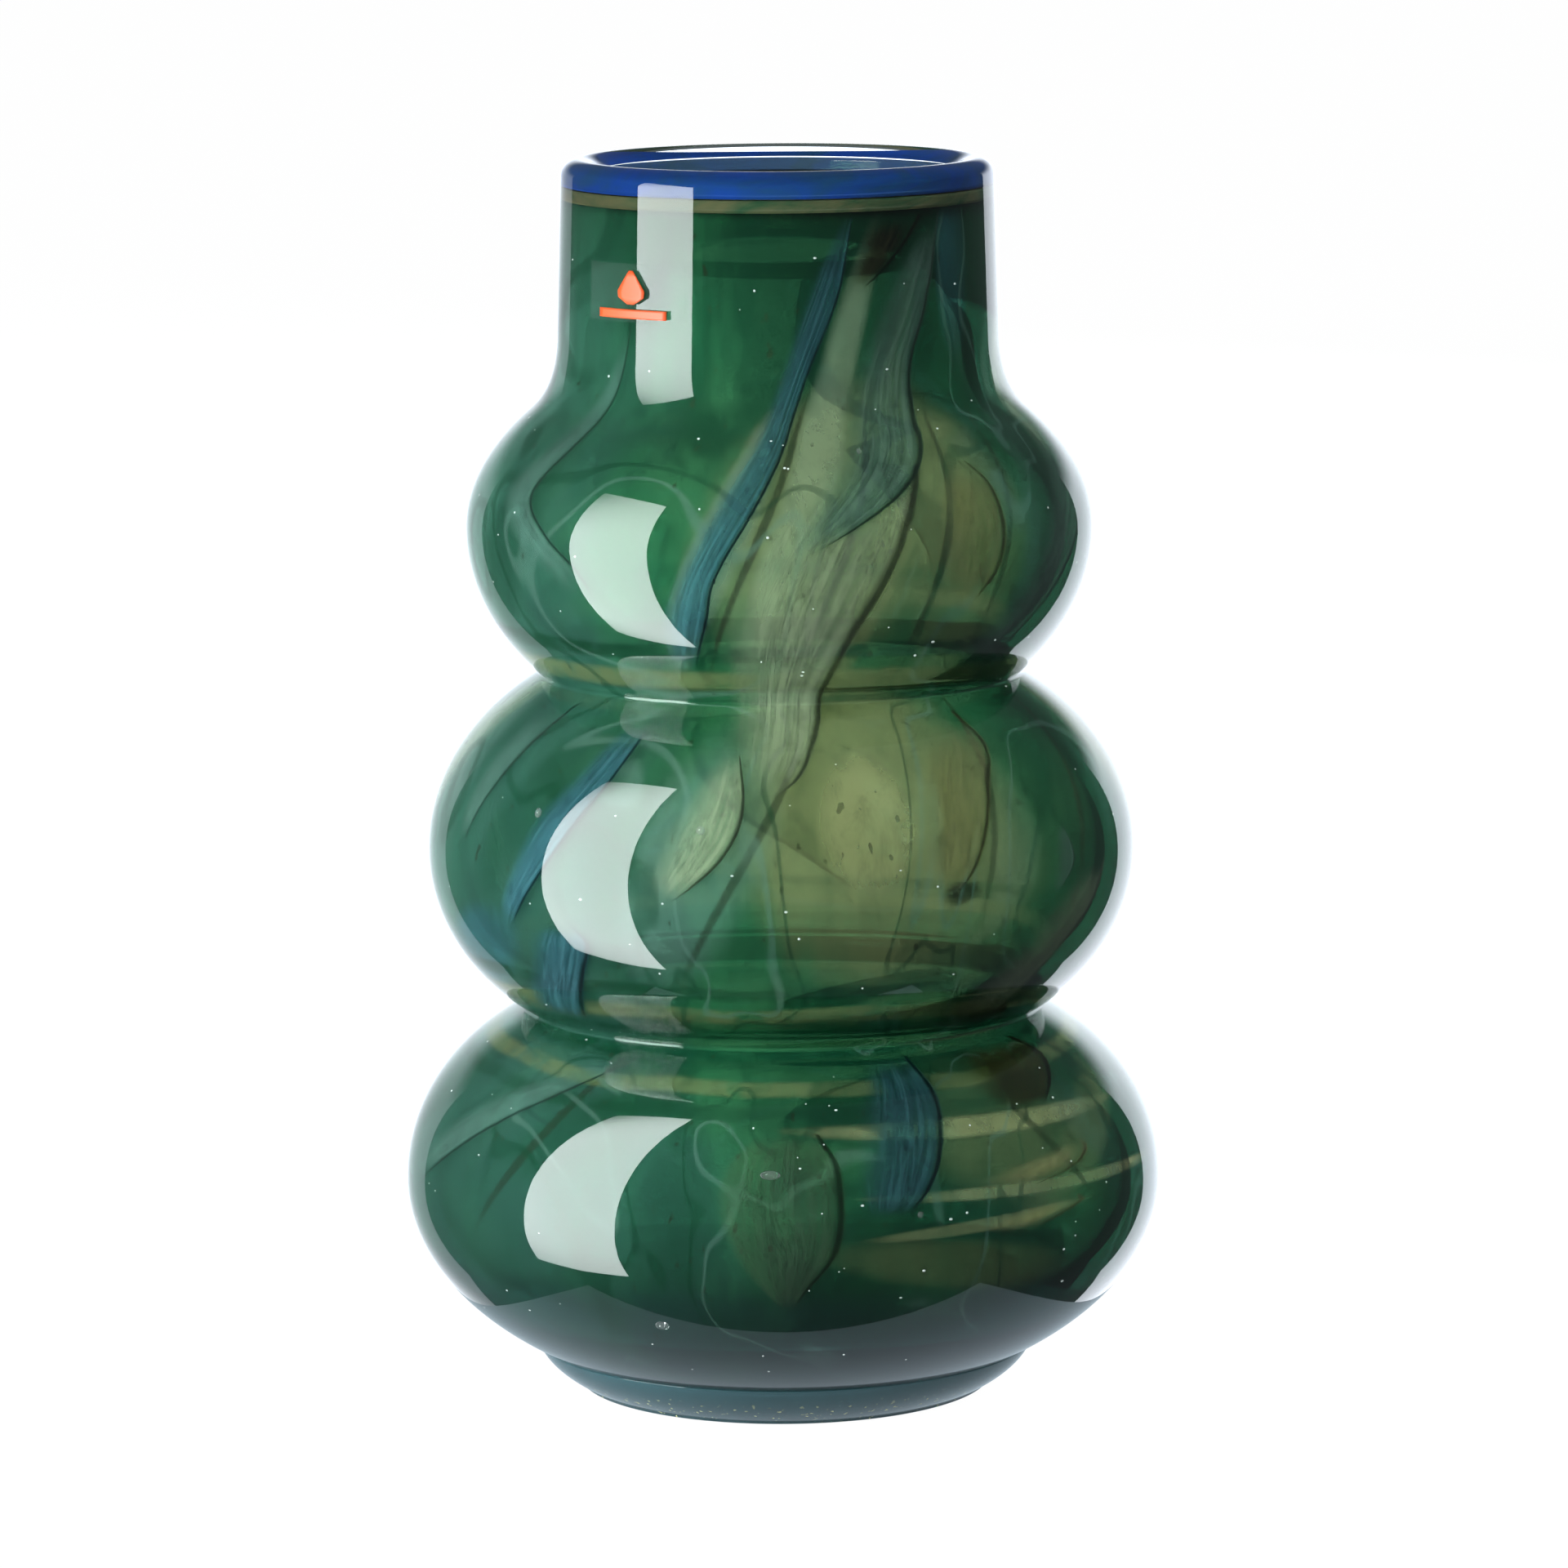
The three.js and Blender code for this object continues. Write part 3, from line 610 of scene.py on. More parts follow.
def label_ink(colours):
    """Orange ink, a little uneven."""
    recipe = Recipe("label ink")
    cloud = recipe.noise(900.0, 2.0)
    tint = recipe.blend(cloud, tuple(colours.ink), tuple(0.8 * c for c in colours.ink))
    return recipe.done(recipe.node("ShaderNodeBsdfPrincipled", {}, {
        "Base Color": tint, "Roughness": 0.45}))


def seed_glass(name, clear):
    """The skin of the bubbles in the casing, as white specks whose white is a painted glint, and as
    clear drops.
    """
    recipe = Recipe(name)
    cloud = recipe.noise(500.0, 1.0)
    tint = recipe.blend(cloud, (0.93, 0.96, 0.96), WHITE)
    return recipe.done(recipe.lit_through(recipe.glass(tint, clear), WHITE))


# ---- Meshes --------------------------------------------------------------------------------------
def new_piece(name, points, faces, nodes, materials, face_slots=None, uvs=None):
    """Makes a smooth piece from points and faces, and hides the frame parts it stands for."""
    mesh = bpy.data.meshes.new(name)
    mesh.from_pydata([tuple(p) for p in points], [], faces)
    for material in materials:
        mesh.materials.append(material)
    mesh.polygons.foreach_set("use_smooth", [True] * len(mesh.polygons))
    if face_slots is not None:
        mesh.polygons.foreach_set("material_index", face_slots)
    if uvs is not None:
        layer = mesh.uv_layers.new(name="Outline")
        corners = np.zeros(len(mesh.loops), int)
        mesh.loops.foreach_get("vertex_index", corners)
        layer.data.foreach_set("uv", np.asarray(uvs)[corners].ravel())
    mesh.update()
    if mesh.validate():
        raise RuntimeError(f"{name} had faces that are not sound")
    piece = bpy.data.objects.new(name, mesh)
    bpy.context.scene.collection.objects.link(piece)
    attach(piece, BODY)
    if nodes:
        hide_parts(*nodes)
    return piece


ON_AXIS = 1e-6


def turned(profile, slots):
    """Points, faces and face slots of a closed profile turned about the axis."""
    points, faces, face_slots = [], [], []
    rings = []
    for radius, height in profile:
        if radius < ON_AXIS:
            rings.append([len(points)])
            points.append((0.0, 0.0, height))
            continue
        rings.append(list(range(len(points), len(points) + TURNS)))
        for i in range(TURNS):
            angle = 2 * math.pi * i / TURNS
            points.append((radius * math.sin(angle), -radius * math.cos(angle), height))
    closed = len(rings[0]) > 1 and len(rings[-1]) > 1
    pairs = list(zip(range(len(rings) - 1), range(1, len(rings))))
    if closed:
        pairs.append((len(rings) - 1, 0))
    for low, high in pairs:
        a, b = rings[low], rings[high]
        for i in range(TURNS):
            j = (i + 1) % TURNS
            if len(a) == 1:
                faces.append((a[0], b[j], b[i]))
            elif len(b) == 1:
                faces.append((a[i], a[j], b[0]))
            else:
                faces.append((a[i], a[j], b[j], b[i]))
            face_slots.append(slots[low])
    return points, faces, face_slots


def between(keys, height):
    """A smooth value through keys of (height, value), held at both ends."""
    height = min(max(height, keys[0][0]), keys[-1][0])
    i = max(next(k for k, key in enumerate(keys) if key[0] >= height) - 1, 0)
    (low, first), (high, second) = keys[i], keys[i + 1]

    def slope(k):
        before, after = keys[max(k - 1, 0)], keys[min(k + 1, len(keys) - 1)]
        return (after[1] - before[1]) / (after[0] - before[0]) * (high - low)

    t = (height - low) / (high - low)
    bend = t * (1 - t) * ((1 - t) * slope(i) - t * slope(i + 1))
    return first + (second - first) * t * t * (3 - 2 * t) + bend


ROW_STEP = 1.2 * MM
COLUMN_STEP = 1.4
# How many rows or columns a drawn edge takes to reach its full thickness, and its head start.
END_THINNING = (3.0, 0.3)
SIDE_THINNING = (1.5, 0.15)


def thinning(number, last, reach, start):
    """The share of its thickness that a piece has near its first and last row or column."""
    return min(1.0, (number + start) / reach, (last - number + start) / reach)


def wall_patch(wall, levels, outer, inner, round_edge=True):
    """A thin closed piece that follows the wall, from levels of (height in millimetres, azimuth of
    the left edge, azimuth of the right edge). Its edges thin out like drawn glass."""
    lefts = [(height * MM, left) for height, left, _ in levels]
    rights = [(height * MM, right) for height, _, right in levels]
    low, high = lefts[0][0], lefts[-1][0]
    count = max(4, round((high - low) / ROW_STEP))
    rows = [low + (high - low) * i / count for i in range(count + 1)]
    widest = max(right - left for _, left, right in levels)
    columns = max(4, round(widest / COLUMN_STEP))
    middle, half = (outer + inner) / 2, (inner - outer) / 2
    points, uvs = [], []
    for face in (-1, 1):
        for r, height in enumerate(rows):
            left, right = between(lefts, height), between(rights, height)
            station = wall.station(height)
            ends = thinning(r, count, *END_THINNING)
            for c in range(columns + 1):
                across = c / columns
                edge = thinning(c, columns, *SIDE_THINNING)
                depth = middle + face * half * (min(edge, ends) if round_edge else 1.0)
                azimuth = math.radians(left + (right - left) * across)
                radius, z = wall.at(station, depth)
                points.append((radius * math.sin(azimuth), -radius * math.cos(azimuth), z))
                uvs.append((across, (height - low) / (high - low)))
    width = columns + 1
    size = len(rows) * width
    faces = []
    for r in range(count):
        for c in range(columns):
            a = r * width + c
            faces.append((a, a + 1, a + 1 + width, a + width))
            faces.append(tuple(size + k for k in (a, a + width, a + 1 + width, a + 1)))
    rim = list(range(width))
    rim += [r * width + columns for r in range(1, count + 1)]
    rim += [count * width + c for c in range(columns - 1, -1, -1)]
    rim += [r * width for r in range(count - 1, 0, -1)]
    for a, b in zip(rim, rim[1:] + rim[:1]):
        faces.append((a, size + a, size + b, b))
    return points, faces, uvs


# ---- The coloured pattern ------------------------------------------------------------------------
# Each row: piece, its layer in the wall, its glass, its slot, and its levels from the bottom up as
# (height in millimetres, azimuth of the left edge, azimuth of the right edge).
UPPER_FRONT = (
    ("trail_blue_sweep", "trail", "blue", "trail_blue_glass",
     ((152, -24, -18), (163, -24, -14), (172, -20.5, -12), (190, -13, -3), (207.5, -2, 6),
      (226, 7, 16.5), (241, 17, 20.5))),
    ("trail_teal_sweep", "trail", "teal", "trail_teal_glass",
     ((176, 0, 3), (182, 2.5, 13), (189, 5.5, 24), (196, 9.5, 32), (203, 13.5, 36), (213, 20, 38),
      (222, 26, 43), (230, 32.5, 46), (241, 45, 49))),
    ("film_slate_front", "film", "slate", "film_slate_glass",
     ((130, -6, -3.5), (136, -10, 4), (147, -13, 10), (161, -13, 16), (177, -9, 23),
      (189, -3, 28), (195, 3, 31))),
    ("film_leaf", "film", "slate", "film_slate_glass",
     ((196.4, 22, 23.5), (201, 23.5, 27.5), (207, 24.5, 25.7))),
    ("film_dark_neck", "film", "dark", "film_dark_glass",
     ((226.5, 18.5, 23), (231, 20.5, 31), (236, 22, 38), (241, 23, 44))),
    ("trail_olive_lobe", "trail", "amber", "film_olive_glass",
     ((165, 34, 38.5), (172, 30, 44.5), (181.5, 29, 47), (190, 31, 46), (194.5, 36, 42))),
)
RIGHT_SIDE = (
    ("trail_right_sweep", "trail", "teal", "trail_teal_glass",
     ((150, 36.5, 47), (162, 45, 60), (175, 53, 71), (188, 62, 80), (198, 70, 82))),
    ("film_brown_thumb", "film", "amber", "film_dark_glass",
     ((110.5, 27, 30), (117, 23, 34.5), (132, 24, 41), (139, 27, 45), (145, 32, 43))),
    ("trail_teal_lens", "trail", "teal", "trail_teal_glass",
     ((107.5, 49.5, 51), (114, 50, 56), (121.5, 52.5, 54))),
    ("trail_slate_right", "trail", "slate", "film_slate_glass",
     ((81, 33, 45), (88, 36, 50), (96, 42, 56), (104, 48, 62), (112, 57, 66))),
)
LEFT_SIDE = (
    ("trail_left_shoulder", "trail", "mist", "trail_teal_glass",
     ((165, -44, -36), (172.5, -52, -40), (180, -62, -49), (187, -66, -55), (197, -60, -50),
      (208, -52, -46), (219, -46, -43))),
    ("trail_left_edge", "trail", "mist", "film_slate_glass",
     ((116, -68, -65), (129, -68, -60), (145, -65, -53))),
    ("trail_left_blue", "trail", "blue", "trail_blue_glass",
     ((101, -54, -51), (107, -53, -47), (115, -50, -42), (124, -47, -37), (134, -41, -32),
      (143, -36, -29))),
    ("film_blue_patch", "film", "blue", "trail_blue_glass",
     ((81, -60, -44), (86, -57, -40.5), (92, -51, -37), (99.6, -47, -34), (103, -43, -37))),
    ("trail_centre_leaf", "trail", "slate", "film_slate_glass",
     ((110.5, -21, -18), (113, -22.5, -15), (119, -22, -10), (125.7, -20, -7),
      (132, -17, -6.5), (139, -13, -8))),
)
LOWER_BULGE = (
    ("trail_blue_panel", "trail", "blue", "trail_blue_glass",
     ((49, 12.5, 19), (54, 11, 23), (63, 11, 27), (72, 13.5, 29), (77.5, 16.5, 27))),
    ("film_olive_lobe", "film", "moss", "film_olive_glass",
     ((29, -0.5, 1.5), (34, -4, 4), (41, -8, 8), (51, -11, 9.5), (60, -10, 9), (66, -5, 6))),
    ("film_upper_streak", "film", "gold", "gold_line_glass",
     ((52, 34, 43), (54, 30, 53), (56.5, 37, 57), (58.5, 50, 56))),
    ("film_lower_streak", "film", "gold", "gold_line_glass",
     ((42.8, 34, 41), (44.5, 30, 47), (46.5, 32, 53), (48, 44, 52))),
    ("trail_brown_lobe", "trail", "umber", "film_dark_glass",
     ((66, 42, 50), (70, 36.5, 57), (74, 35, 61), (77.4, 37, 58))),
    ("trail_lower_left", "trail", "mist", "trail_teal_glass",
     ((45, -82, -75), (55, -74, -63), (64, -64, -52), (72, -52, -40), (77.6, -42, -31))),
)
BACK = (
    ("trail_back_blue", "trail", "blue", "trail_blue_glass",
     ((150, 128, 137), (165, 133, 147), (180, 142, 156), (195, 154, 166), (212, 166, 177),
      (241, 186, 191))),
    ("trail_back_teal", "trail", "teal", "trail_teal_glass",
     ((158, 198, 206), (170, 200, 216), (185, 206, 226), (200, 216, 234), (220, 232, 244),
      (240, 246, 250))),
    ("film_back_slate", "film", "slate", "film_slate_glass",
     ((84, 150, 162), (95, 145, 175), (110, 148, 190), (125, 158, 198), (138, 172, 200),
      (145, 184, 194))),
    ("trail_back_olive", "trail", "olive", "film_olive_glass",
     ((88, 208, 216), (100, 206, 226), (115, 212, 236), (130, 224, 242), (142, 236, 243))),
    ("trail_back_low", "trail", "blue", "trail_blue_glass",
     ((34, 168, 178), (45, 156, 180), (56, 144, 172), (67, 134, 156), (75, 130, 140))),
    ("film_back_gold", "film", "gold", "gold_line_glass",
     ((40, 206, 216), (48, 200, 230), (58, 204, 236), (68, 218, 234))),
)
# Each kind of coloured glass: how much light one face lets through, how far it melts into the green
# (shares of its width from the left and the right, and of its length from both ends), and the
# colour of its streaks.
KINDS = {
    "blue": (0.88, (0.50, 0.10, 0.14), (0.30, 0.70, 0.80)),
    "teal": (0.86, (0.55, 0.06, 0.16), (0.60, 0.80, 0.70)),
    "mist": (0.94, (0.60, 0.20, 0.30), (0.50, 0.70, 0.62)),
    "slate": (0.84, (0.65, 0.08, 0.22), (0.84, 0.90, 0.66)),
    "olive": (0.90, (0.55, 0.30, 0.30), (0.80, 0.80, 0.50)),
    "moss": (0.985, (0.12, 0.10, 0.10), (0.86, 0.94, 0.80)),
    "amber": (0.90, (0.45, 0.12, 0.22), (0.80, 0.78, 0.50)),
    "umber": (0.93, (0.40, 0.10, 0.20), (0.30, 0.27, 0.12)),
    "dark": (0.90, (0.50, 0.40, 0.35), (0.30, 0.30, 0.14)),
    "gold": (0.80, (0.60, 0.45, 0.45), (0.95, 0.92, 0.60)),
}
# How much of a kind's streaks is its own colour.
OWN_SHARE = 0.55


def layer_recipe(context, kind):
    """The glass of one kind of trail or film, made once."""
    name = f"{kind} layer glass"
    if name in bpy.data.materials:
        return bpy.data.materials[name]
    clear, melt, streak = KINDS[kind]
    tint = tuple(getattr(context.scene.vase_colours, kind))
    cloud = tuple(OWN_SHARE * c + (1.0 - OWN_SHARE) * w for c, w in zip(tint, streak))
    return layer_glass(name, tint, cloud, clear, melt)


def make_layers(context, rows):
    """Makes the trails and films of one part of the pattern."""
    wall = Wall(context.scene.vase_shape)
    depths = {"trail": wall.trail_depth, "film": wall.film_depth}
    for name, layer, kind, slot, levels in rows:
        outer = depths[layer]
        points, faces, uvs = wall_patch(wall, levels, outer, outer + wall.shape.trail)
        new_piece(f"blown_{name}", points, faces, [name], [layer_recipe(context, kind)],
                  uvs=uvs)
    return {"FINISHED"}


# ---- Operators -----------------------------------------------------------------------------------
# A hair's gap where two pieces of glass meet.
SEAM = 0.05 * MM
BEVEL_STEPS = 5
FLARE_STEPS = 24
LIP_STEPS = 28
RING_STEPS = 4
# The cavity's floor is flat out to a radius, and curves up to the wall from there.
FLAT_FLOOR_RADIUS = 22.0 * MM
FLOOR_CURVE_RISE = 3.0 * MM
FLOOR_STEPS = 12


class VASE_OT_foot(bpy.types.Operator):
    """Make the flared foot"""

    bl_idname = "vase.foot"
    bl_label = "Foot"

    def execute(self, context):
        shape = context.scene.vase_shape
        wall = Wall(shape)
        base = shape.foot_base_radius
        corner = bezier((base - shape.foot_bevel, 0.0), (base, 0.0), (base, shape.foot_bevel),
                        BEVEL_STEPS)
        flare = bezier((base, shape.foot_bevel),
                       ((base + shape.foot_top_radius) / 2 + shape.foot_swell,
                        shape.foot_height / 2),
                       (shape.foot_top_radius, shape.foot_height), FLARE_STEPS)
        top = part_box("foot_pad")[1].z
        seat = wall.points[0] + np.array((-wall.normals[0][1], wall.normals[0][0])) * SEAM
        inner = seat + wall.normals[0] * (top - seat[1]) / wall.normals[0][1]
        profile = [(0.0, 0.0), *corner, *flare[1:-1], seat, inner, (0.0, top)]
        skin = [SKIN] * (len(profile) - 3) + [WITHIN] * 3
        points, faces, slots = turned(profile, skin)
        new_piece("blown_foot", points, faces, ["foot_pad"],
                  [foot_glass(context.scene.vase_colours), joined_glass()], slots)
        return {"FINISHED"}


class VASE_OT_core(bpy.types.Operator):
    """Make the green core round the cavity"""

    bl_idname = "vase.core"
    bl_label = "Green core"

    def execute(self, context):
        shape = context.scene.vase_shape
        wall = Wall(shape)
        neck_base = wall.lip_start - NECK_RISE
        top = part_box("green_core")[1].z
        outside = wall.run(wall.core_depth, shape.foot_height, neck_base)
        inside = wall.run(wall.thickness, shape.foot_height, neck_base)
        inside = [p for p in inside if p[1] > shape.floor_height + FLOOR_CURVE_RISE]
        corner, after = inside[0], inside[1]
        slope = (after[0] - corner[0]) / (after[1] - corner[1])
        bend = (corner[0] - slope * (corner[1] - shape.floor_height), shape.floor_height)
        floor = bezier(corner, bend, (FLAT_FLOOR_RADIUS, shape.floor_height), FLOOR_STEPS)
        necks = [(wall.neck_radius(top, depth), top) for depth in (wall.core_depth, wall.thickness)]
        profile = [(0.0, outside[0][1]), *outside, *necks, *inside[::-1], *floor[1:],
                   (0.0, shape.floor_height)]
        coloured = 1 + len(outside)
        slots = [SKIN] * (coloured + 1) + [WITHIN] * (len(profile) - coloured - 1)
        colours = context.scene.vase_colours
        points, faces, face_slots = turned(profile, slots)
        new_piece("blown_core", points, faces, ["green_core"],
                  [core_glass(colours), cavity_glass(colours)], face_slots)
        return {"FINISHED"}


class VASE_OT_casing(bpy.types.Operator):
    """Make the clear casing with its rounded lip"""

    bl_idname = "vase.casing"
    bl_label = "Clear casing"

    def execute(self, context):
        shape = context.scene.vase_shape
        wall = Wall(shape)
        neck_base = wall.lip_start - NECK_RISE
        outside = wall.run(0.0, shape.foot_height, wall.lip_start)
        inside = wall.run(shape.casing, shape.foot_height, neck_base)
        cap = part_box("lip_wrap")[1].z + SEAM
        last = math.pi - math.asin((cap - wall.lip_start) / shape.lip_rise)
        lip = []
        for i in range(1, LIP_STEPS + 1):
            angle = last * i / LIP_STEPS
            lip.append((shape.neck_top_radius - wall.thickness / 2 * (1 - math.cos(angle)),
                        wall.lip_start + shape.lip_rise * math.sin(angle)))
        corner = (wall.neck_radius(cap, shape.casing), cap)
        profile = [*outside, *lip, corner, *inside[::-1]]
        skin = len(outside) + len(lip) - 1
        slots = [SKIN] * skin + [WITHIN] * (len(profile) - skin)
        points, faces, face_slots = turned(profile, slots)
        new_piece("blown_casing", points, faces, ["outer_casing"],
                  [casing_glass(), joined_glass()], face_slots)
        return {"FINISHED"}


class VASE_OT_lip_rings(bpy.types.Operator):
    """Make the blue wrap and the gold line in the lip"""

    bl_idname = "vase.lip_rings"
    bl_label = "Lip rings"

    def execute(self, context):
        wall = Wall(context.scene.vase_shape)
        colours = context.scene.vase_colours
        rings = (
            ("lip_wrap", "lip_blue_glass", tuple(colours.cobalt), (0.012, 0.055, 0.150)),
            ("gold_line", "gold_line_glass", tuple(0.15 * c for c in colours.gold),
             tuple(colours.deep)),
        )
        for name, slot, tint, cloud in rings:
            low, high = (corner.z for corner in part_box(name))
            heights = [low + (high - low) * i / RING_STEPS for i in range(RING_STEPS + 1)]
            outer = [(wall.neck_radius(z, wall.trail_depth), z) for z in heights]
            inner = [(wall.neck_radius(z, wall.thickness), z) for z in heights[::-1]]
            slots = [SKIN] * len(outer) + [WITHIN] * (len(inner) - 1) + [SKIN]
            points, faces, face_slots = turned(outer + inner, slots)
            new_piece(f"blown_{name}", points, faces, [name],
                      [lip_glass(f"{name} glass", tint, cloud), cavity_glass(colours)], face_slots)
        return {"FINISHED"}


class VASE_OT_upper_front(bpy.types.Operator):
    """Make the ribbons and films on the front of the neck and the upper bulge"""

    bl_idname = "vase.upper_front"
    bl_label = "Upper front"

    def execute(self, context):
        return make_layers(context, UPPER_FRONT)


class VASE_OT_right_side(bpy.types.Operator):
    """Make the ribbons, thumb and lens on the right"""

    bl_idname = "vase.right_side"
    bl_label = "Right side"

    def execute(self, context):
        return make_layers(context, RIGHT_SIDE)


class VASE_OT_left_side(bpy.types.Operator):
    """Make the ribbons on the left"""

    bl_idname = "vase.left_side"
    bl_label = "Left side"

    def execute(self, context):
        return make_layers(context, LEFT_SIDE)


class VASE_OT_lower_bulge(bpy.types.Operator):
    """Make the panel, lobes and streaks in the lower bulge"""

    bl_idname = "vase.lower_bulge"
    bl_label = "Lower bulge"

    def execute(self, context):
        return make_layers(context, LOWER_BULGE)


class VASE_OT_back(bpy.types.Operator):
    """Make the ribbons and films round the back"""

    bl_idname = "vase.back"
    bl_label = "Back"

    def execute(self, context):
        return make_layers(context, BACK)


# Each part of the label: the depths of its two faces in millimetres, above the skin, so less
# than 0, and its levels as in the pattern.
LABEL_FILM = (-0.5, -0.3, ((220.25, -56.0, -24.0), (231.75, -56.0, -24.0)))
LABEL_DROP = (-0.95, -0.8, (
    (223.8, -41.1, -38.9), (224.46, -43.4, -36.6), (226.1, -44.5, -35.5), (227.83, -43.1, -36.9),
    (230.4, -40.65, -39.35)))
LABEL_BAR = (-0.95, -0.8, ((221.0, -51.0, -29.0), (222.8, -51.0, -29.0)))


class VASE_OT_label(bpy.types.Operator):
    """Make the clear label and its printed drop and bar"""

    bl_idname = "vase.label"
    bl_label = "Label"

    def execute(self, context):
        wall = Wall(context.scene.vase_shape)
        colours = context.scene.vase_colours
        ink = label_ink(colours)
        rows = (
            ("label_film", "label_clear_film", label_film(), LABEL_FILM),
            ("label_print_drop", "label_orange_ink", ink, LABEL_DROP),
            ("label_print_bar", "label_orange_ink", ink, LABEL_BAR),
        )
        for name, slot, material, (outer, inner, levels) in rows:
            points, faces, uvs = wall_patch(wall, levels, outer * MM, inner * MM, False)
            new_piece(f"stuck_{name}", points, faces, [name], [material], uvs=uvs)
        return {"FINISHED"}


BUBBLE_SEED = 7
SEED_COUNT = 330
# The bubbles lie about halfway through the casing.
SEED_DEPTH = 1.3 * MM
# Ranges of the seeds' heights and half sizes in millimetres, and of width over height.
SEED_HEIGHTS = (14.0, 240.0)
SEED_SIZES = (0.09, 0.26)
SEED_WIDTHS = (0.8, 1.8)
BALL_RINGS = 7
BALL_SIDES = 10
# Azimuth, height, half height and half width in millimetres.
LARGE_BUBBLES = (
    (-2.1, 57.9, 0.9, 2.0), (-19.8, 25.9, 1.0, 1.5), (-13.4, 124.8, 0.9, 0.9),
    (-44.8, 125.5, 1.0, 0.8), (17.1, 197.0, 0.6, 0.5), (20.6, 49.2, 0.6, 0.6),
)


def ball():
    """Points and faces of a round ball of radius 1."""
    points = [(0.0, 0.0, -1.0)]
    for r in range(1, BALL_RINGS):
        polar = math.pi * r / BALL_RINGS
        for s in range(BALL_SIDES):
            turn = 2 * math.pi * s / BALL_SIDES
            points.append((math.sin(polar) * math.cos(turn), math.sin(polar) * math.sin(turn),
                           -math.cos(polar)))
    points.append((0.0, 0.0, 1.0))
    last = len(points) - 1
    faces = []
    for s in range(BALL_SIDES):
        t = (s + 1) % BALL_SIDES
        faces.append((0, 1 + t, 1 + s))
        faces.append((last, last - BALL_SIDES + s, last - BALL_SIDES + t))
        for r in range(BALL_RINGS - 2):
            a = 1 + r * BALL_SIDES
            b = a + BALL_SIDES
            faces.append((a + s, a + t, b + t, b + s))
    return points, faces


class VASE_OT_bubbles(bpy.types.Operator):
    """Make the seed bubbles in the casing"""

    bl_idname = "vase.bubbles"
    bl_label = "Seed bubbles"

    def execute(self, context):
        wall = Wall(context.scene.vase_shape)
        chance = random.Random(BUBBLE_SEED)
        rows = list(LARGE_BUBBLES)
        for _ in range(SEED_COUNT):
            height = chance.uniform(*SEED_HEIGHTS)
            size = chance.uniform(*SEED_SIZES)
            azimuth = chance.uniform(-180.0, 180.0)
            rows.append((azimuth, height, size, size * chance.uniform(*SEED_WIDTHS)))
        ball_points, ball_faces = ball()
        points, faces, slots = [], [], []
        for number, (azimuth, height, high, wide) in enumerate(rows):
            angle = math.radians(azimuth)
            radius, z = wall.at(wall.station(height * MM), SEED_DEPTH)
            centre = np.array((radius * math.sin(angle), -radius * math.cos(angle), z))
            side = np.array((math.cos(angle), math.sin(angle), 0.0))
            ahead = np.array((math.sin(angle), -math.cos(angle), 0.0))
            start = len(points)
            for x, y, up in ball_points:
                points.append(centre + side * x * wide * MM + ahead * y * min(high, wide) * MM
                              + np.array((0.0, 0.0, up * high * MM)))
            faces += [tuple(start + k for k in face[::-1]) for face in ball_faces]
            slots += [1 if number < len(LARGE_BUBBLES) else 0] * len(ball_faces)
        # The specks' white skin is a painted glint on the seed bubbles.
        looks = [seed_glass("seed specks", 0.60), seed_glass("clear drops", 0.97)]
        new_piece("seed_bubbles", points, faces, [], looks, slots)
        return {"FINISHED"}


# ---- Stage ---------------------------------------------------------------------------------------
def stage_sheet(name, corners, material):
    """A flat four-sided sheet of the stage."""
    mesh = bpy.data.meshes.new(name)
    mesh.from_pydata(corners, [], [(0, 1, 2, 3)])
    mesh.materials.append(material)
    sheet = bpy.data.objects.new(name, mesh)
    bpy.context.scene.collection.objects.link(sheet)
    return sheet


def lamp_sheet(name, corners, material):
    """A glowing sheet that lights the glass and is not seen by the camera itself."""
    sheet = stage_sheet(name, corners, material)
    sheet.visible_camera = False
    return sheet


def diffuser(name, tint, strength, fade):
    """A lamp's cloth: it glows on its front and lets everything by at its back."""
    recipe = Recipe(name)
    glow = recipe.glow("ShaderNodeEmission", tint, strength)
    back = recipe.node("ShaderNodeNewGeometry", output="Backfacing")
    return recipe.done(recipe.mix(fade(recipe) * (1.0 - back), recipe.clear(), glow))


def paper():
    """White paper, which the camera sees lit evenly. The glass mirrors only a small plate of it,
    and from below it lets everything by."""
    recipe = Recipe("paper floor")
    grain = recipe.noise(300.0, 2.0)
    tone = recipe.blend(grain, (0.80, 0.80, 0.80), (0.84, 0.84, 0.84))
    matt = recipe.node("ShaderNodeBsdfPrincipled", {}, {
        "Base Color": tone, "Roughness": 0.9, "Specular IOR Level": 0.1})
    seen = recipe.ray("Is Camera Ray") * FLOOR_GLOW + recipe.ray("Is Transmission Ray")
    lit = recipe.mix(seen, matt, recipe.glow("ShaderNodeEmission", WHITE, WHITE_STRENGTH))
    mirrored = recipe.ray("Is Glossy Ray")
    lit = recipe.mix(mirrored, lit, recipe.glow("ShaderNodeEmission", PLATE_TINT, PLATE_STRENGTH))
    below = recipe.node("ShaderNodeNewGeometry", output="Backfacing")
    x, y, _ = recipe.place()
    plate = x.maths("LESS_THAN", abs(x), PLATE_HALF) * y.maths("LESS_THAN", abs(y), PLATE_HALF)
    return recipe.done(recipe.mix(mirrored * (1.0 - plate) + below, lit, recipe.clear()))


def strip_fade(recipe):
    """The strip lamp is a little dimmer at its two ends."""
    height = recipe.place()[2]
    return recipe.smooth(abs(height - STRIP_MIDDLE), *STRIP_FADE)


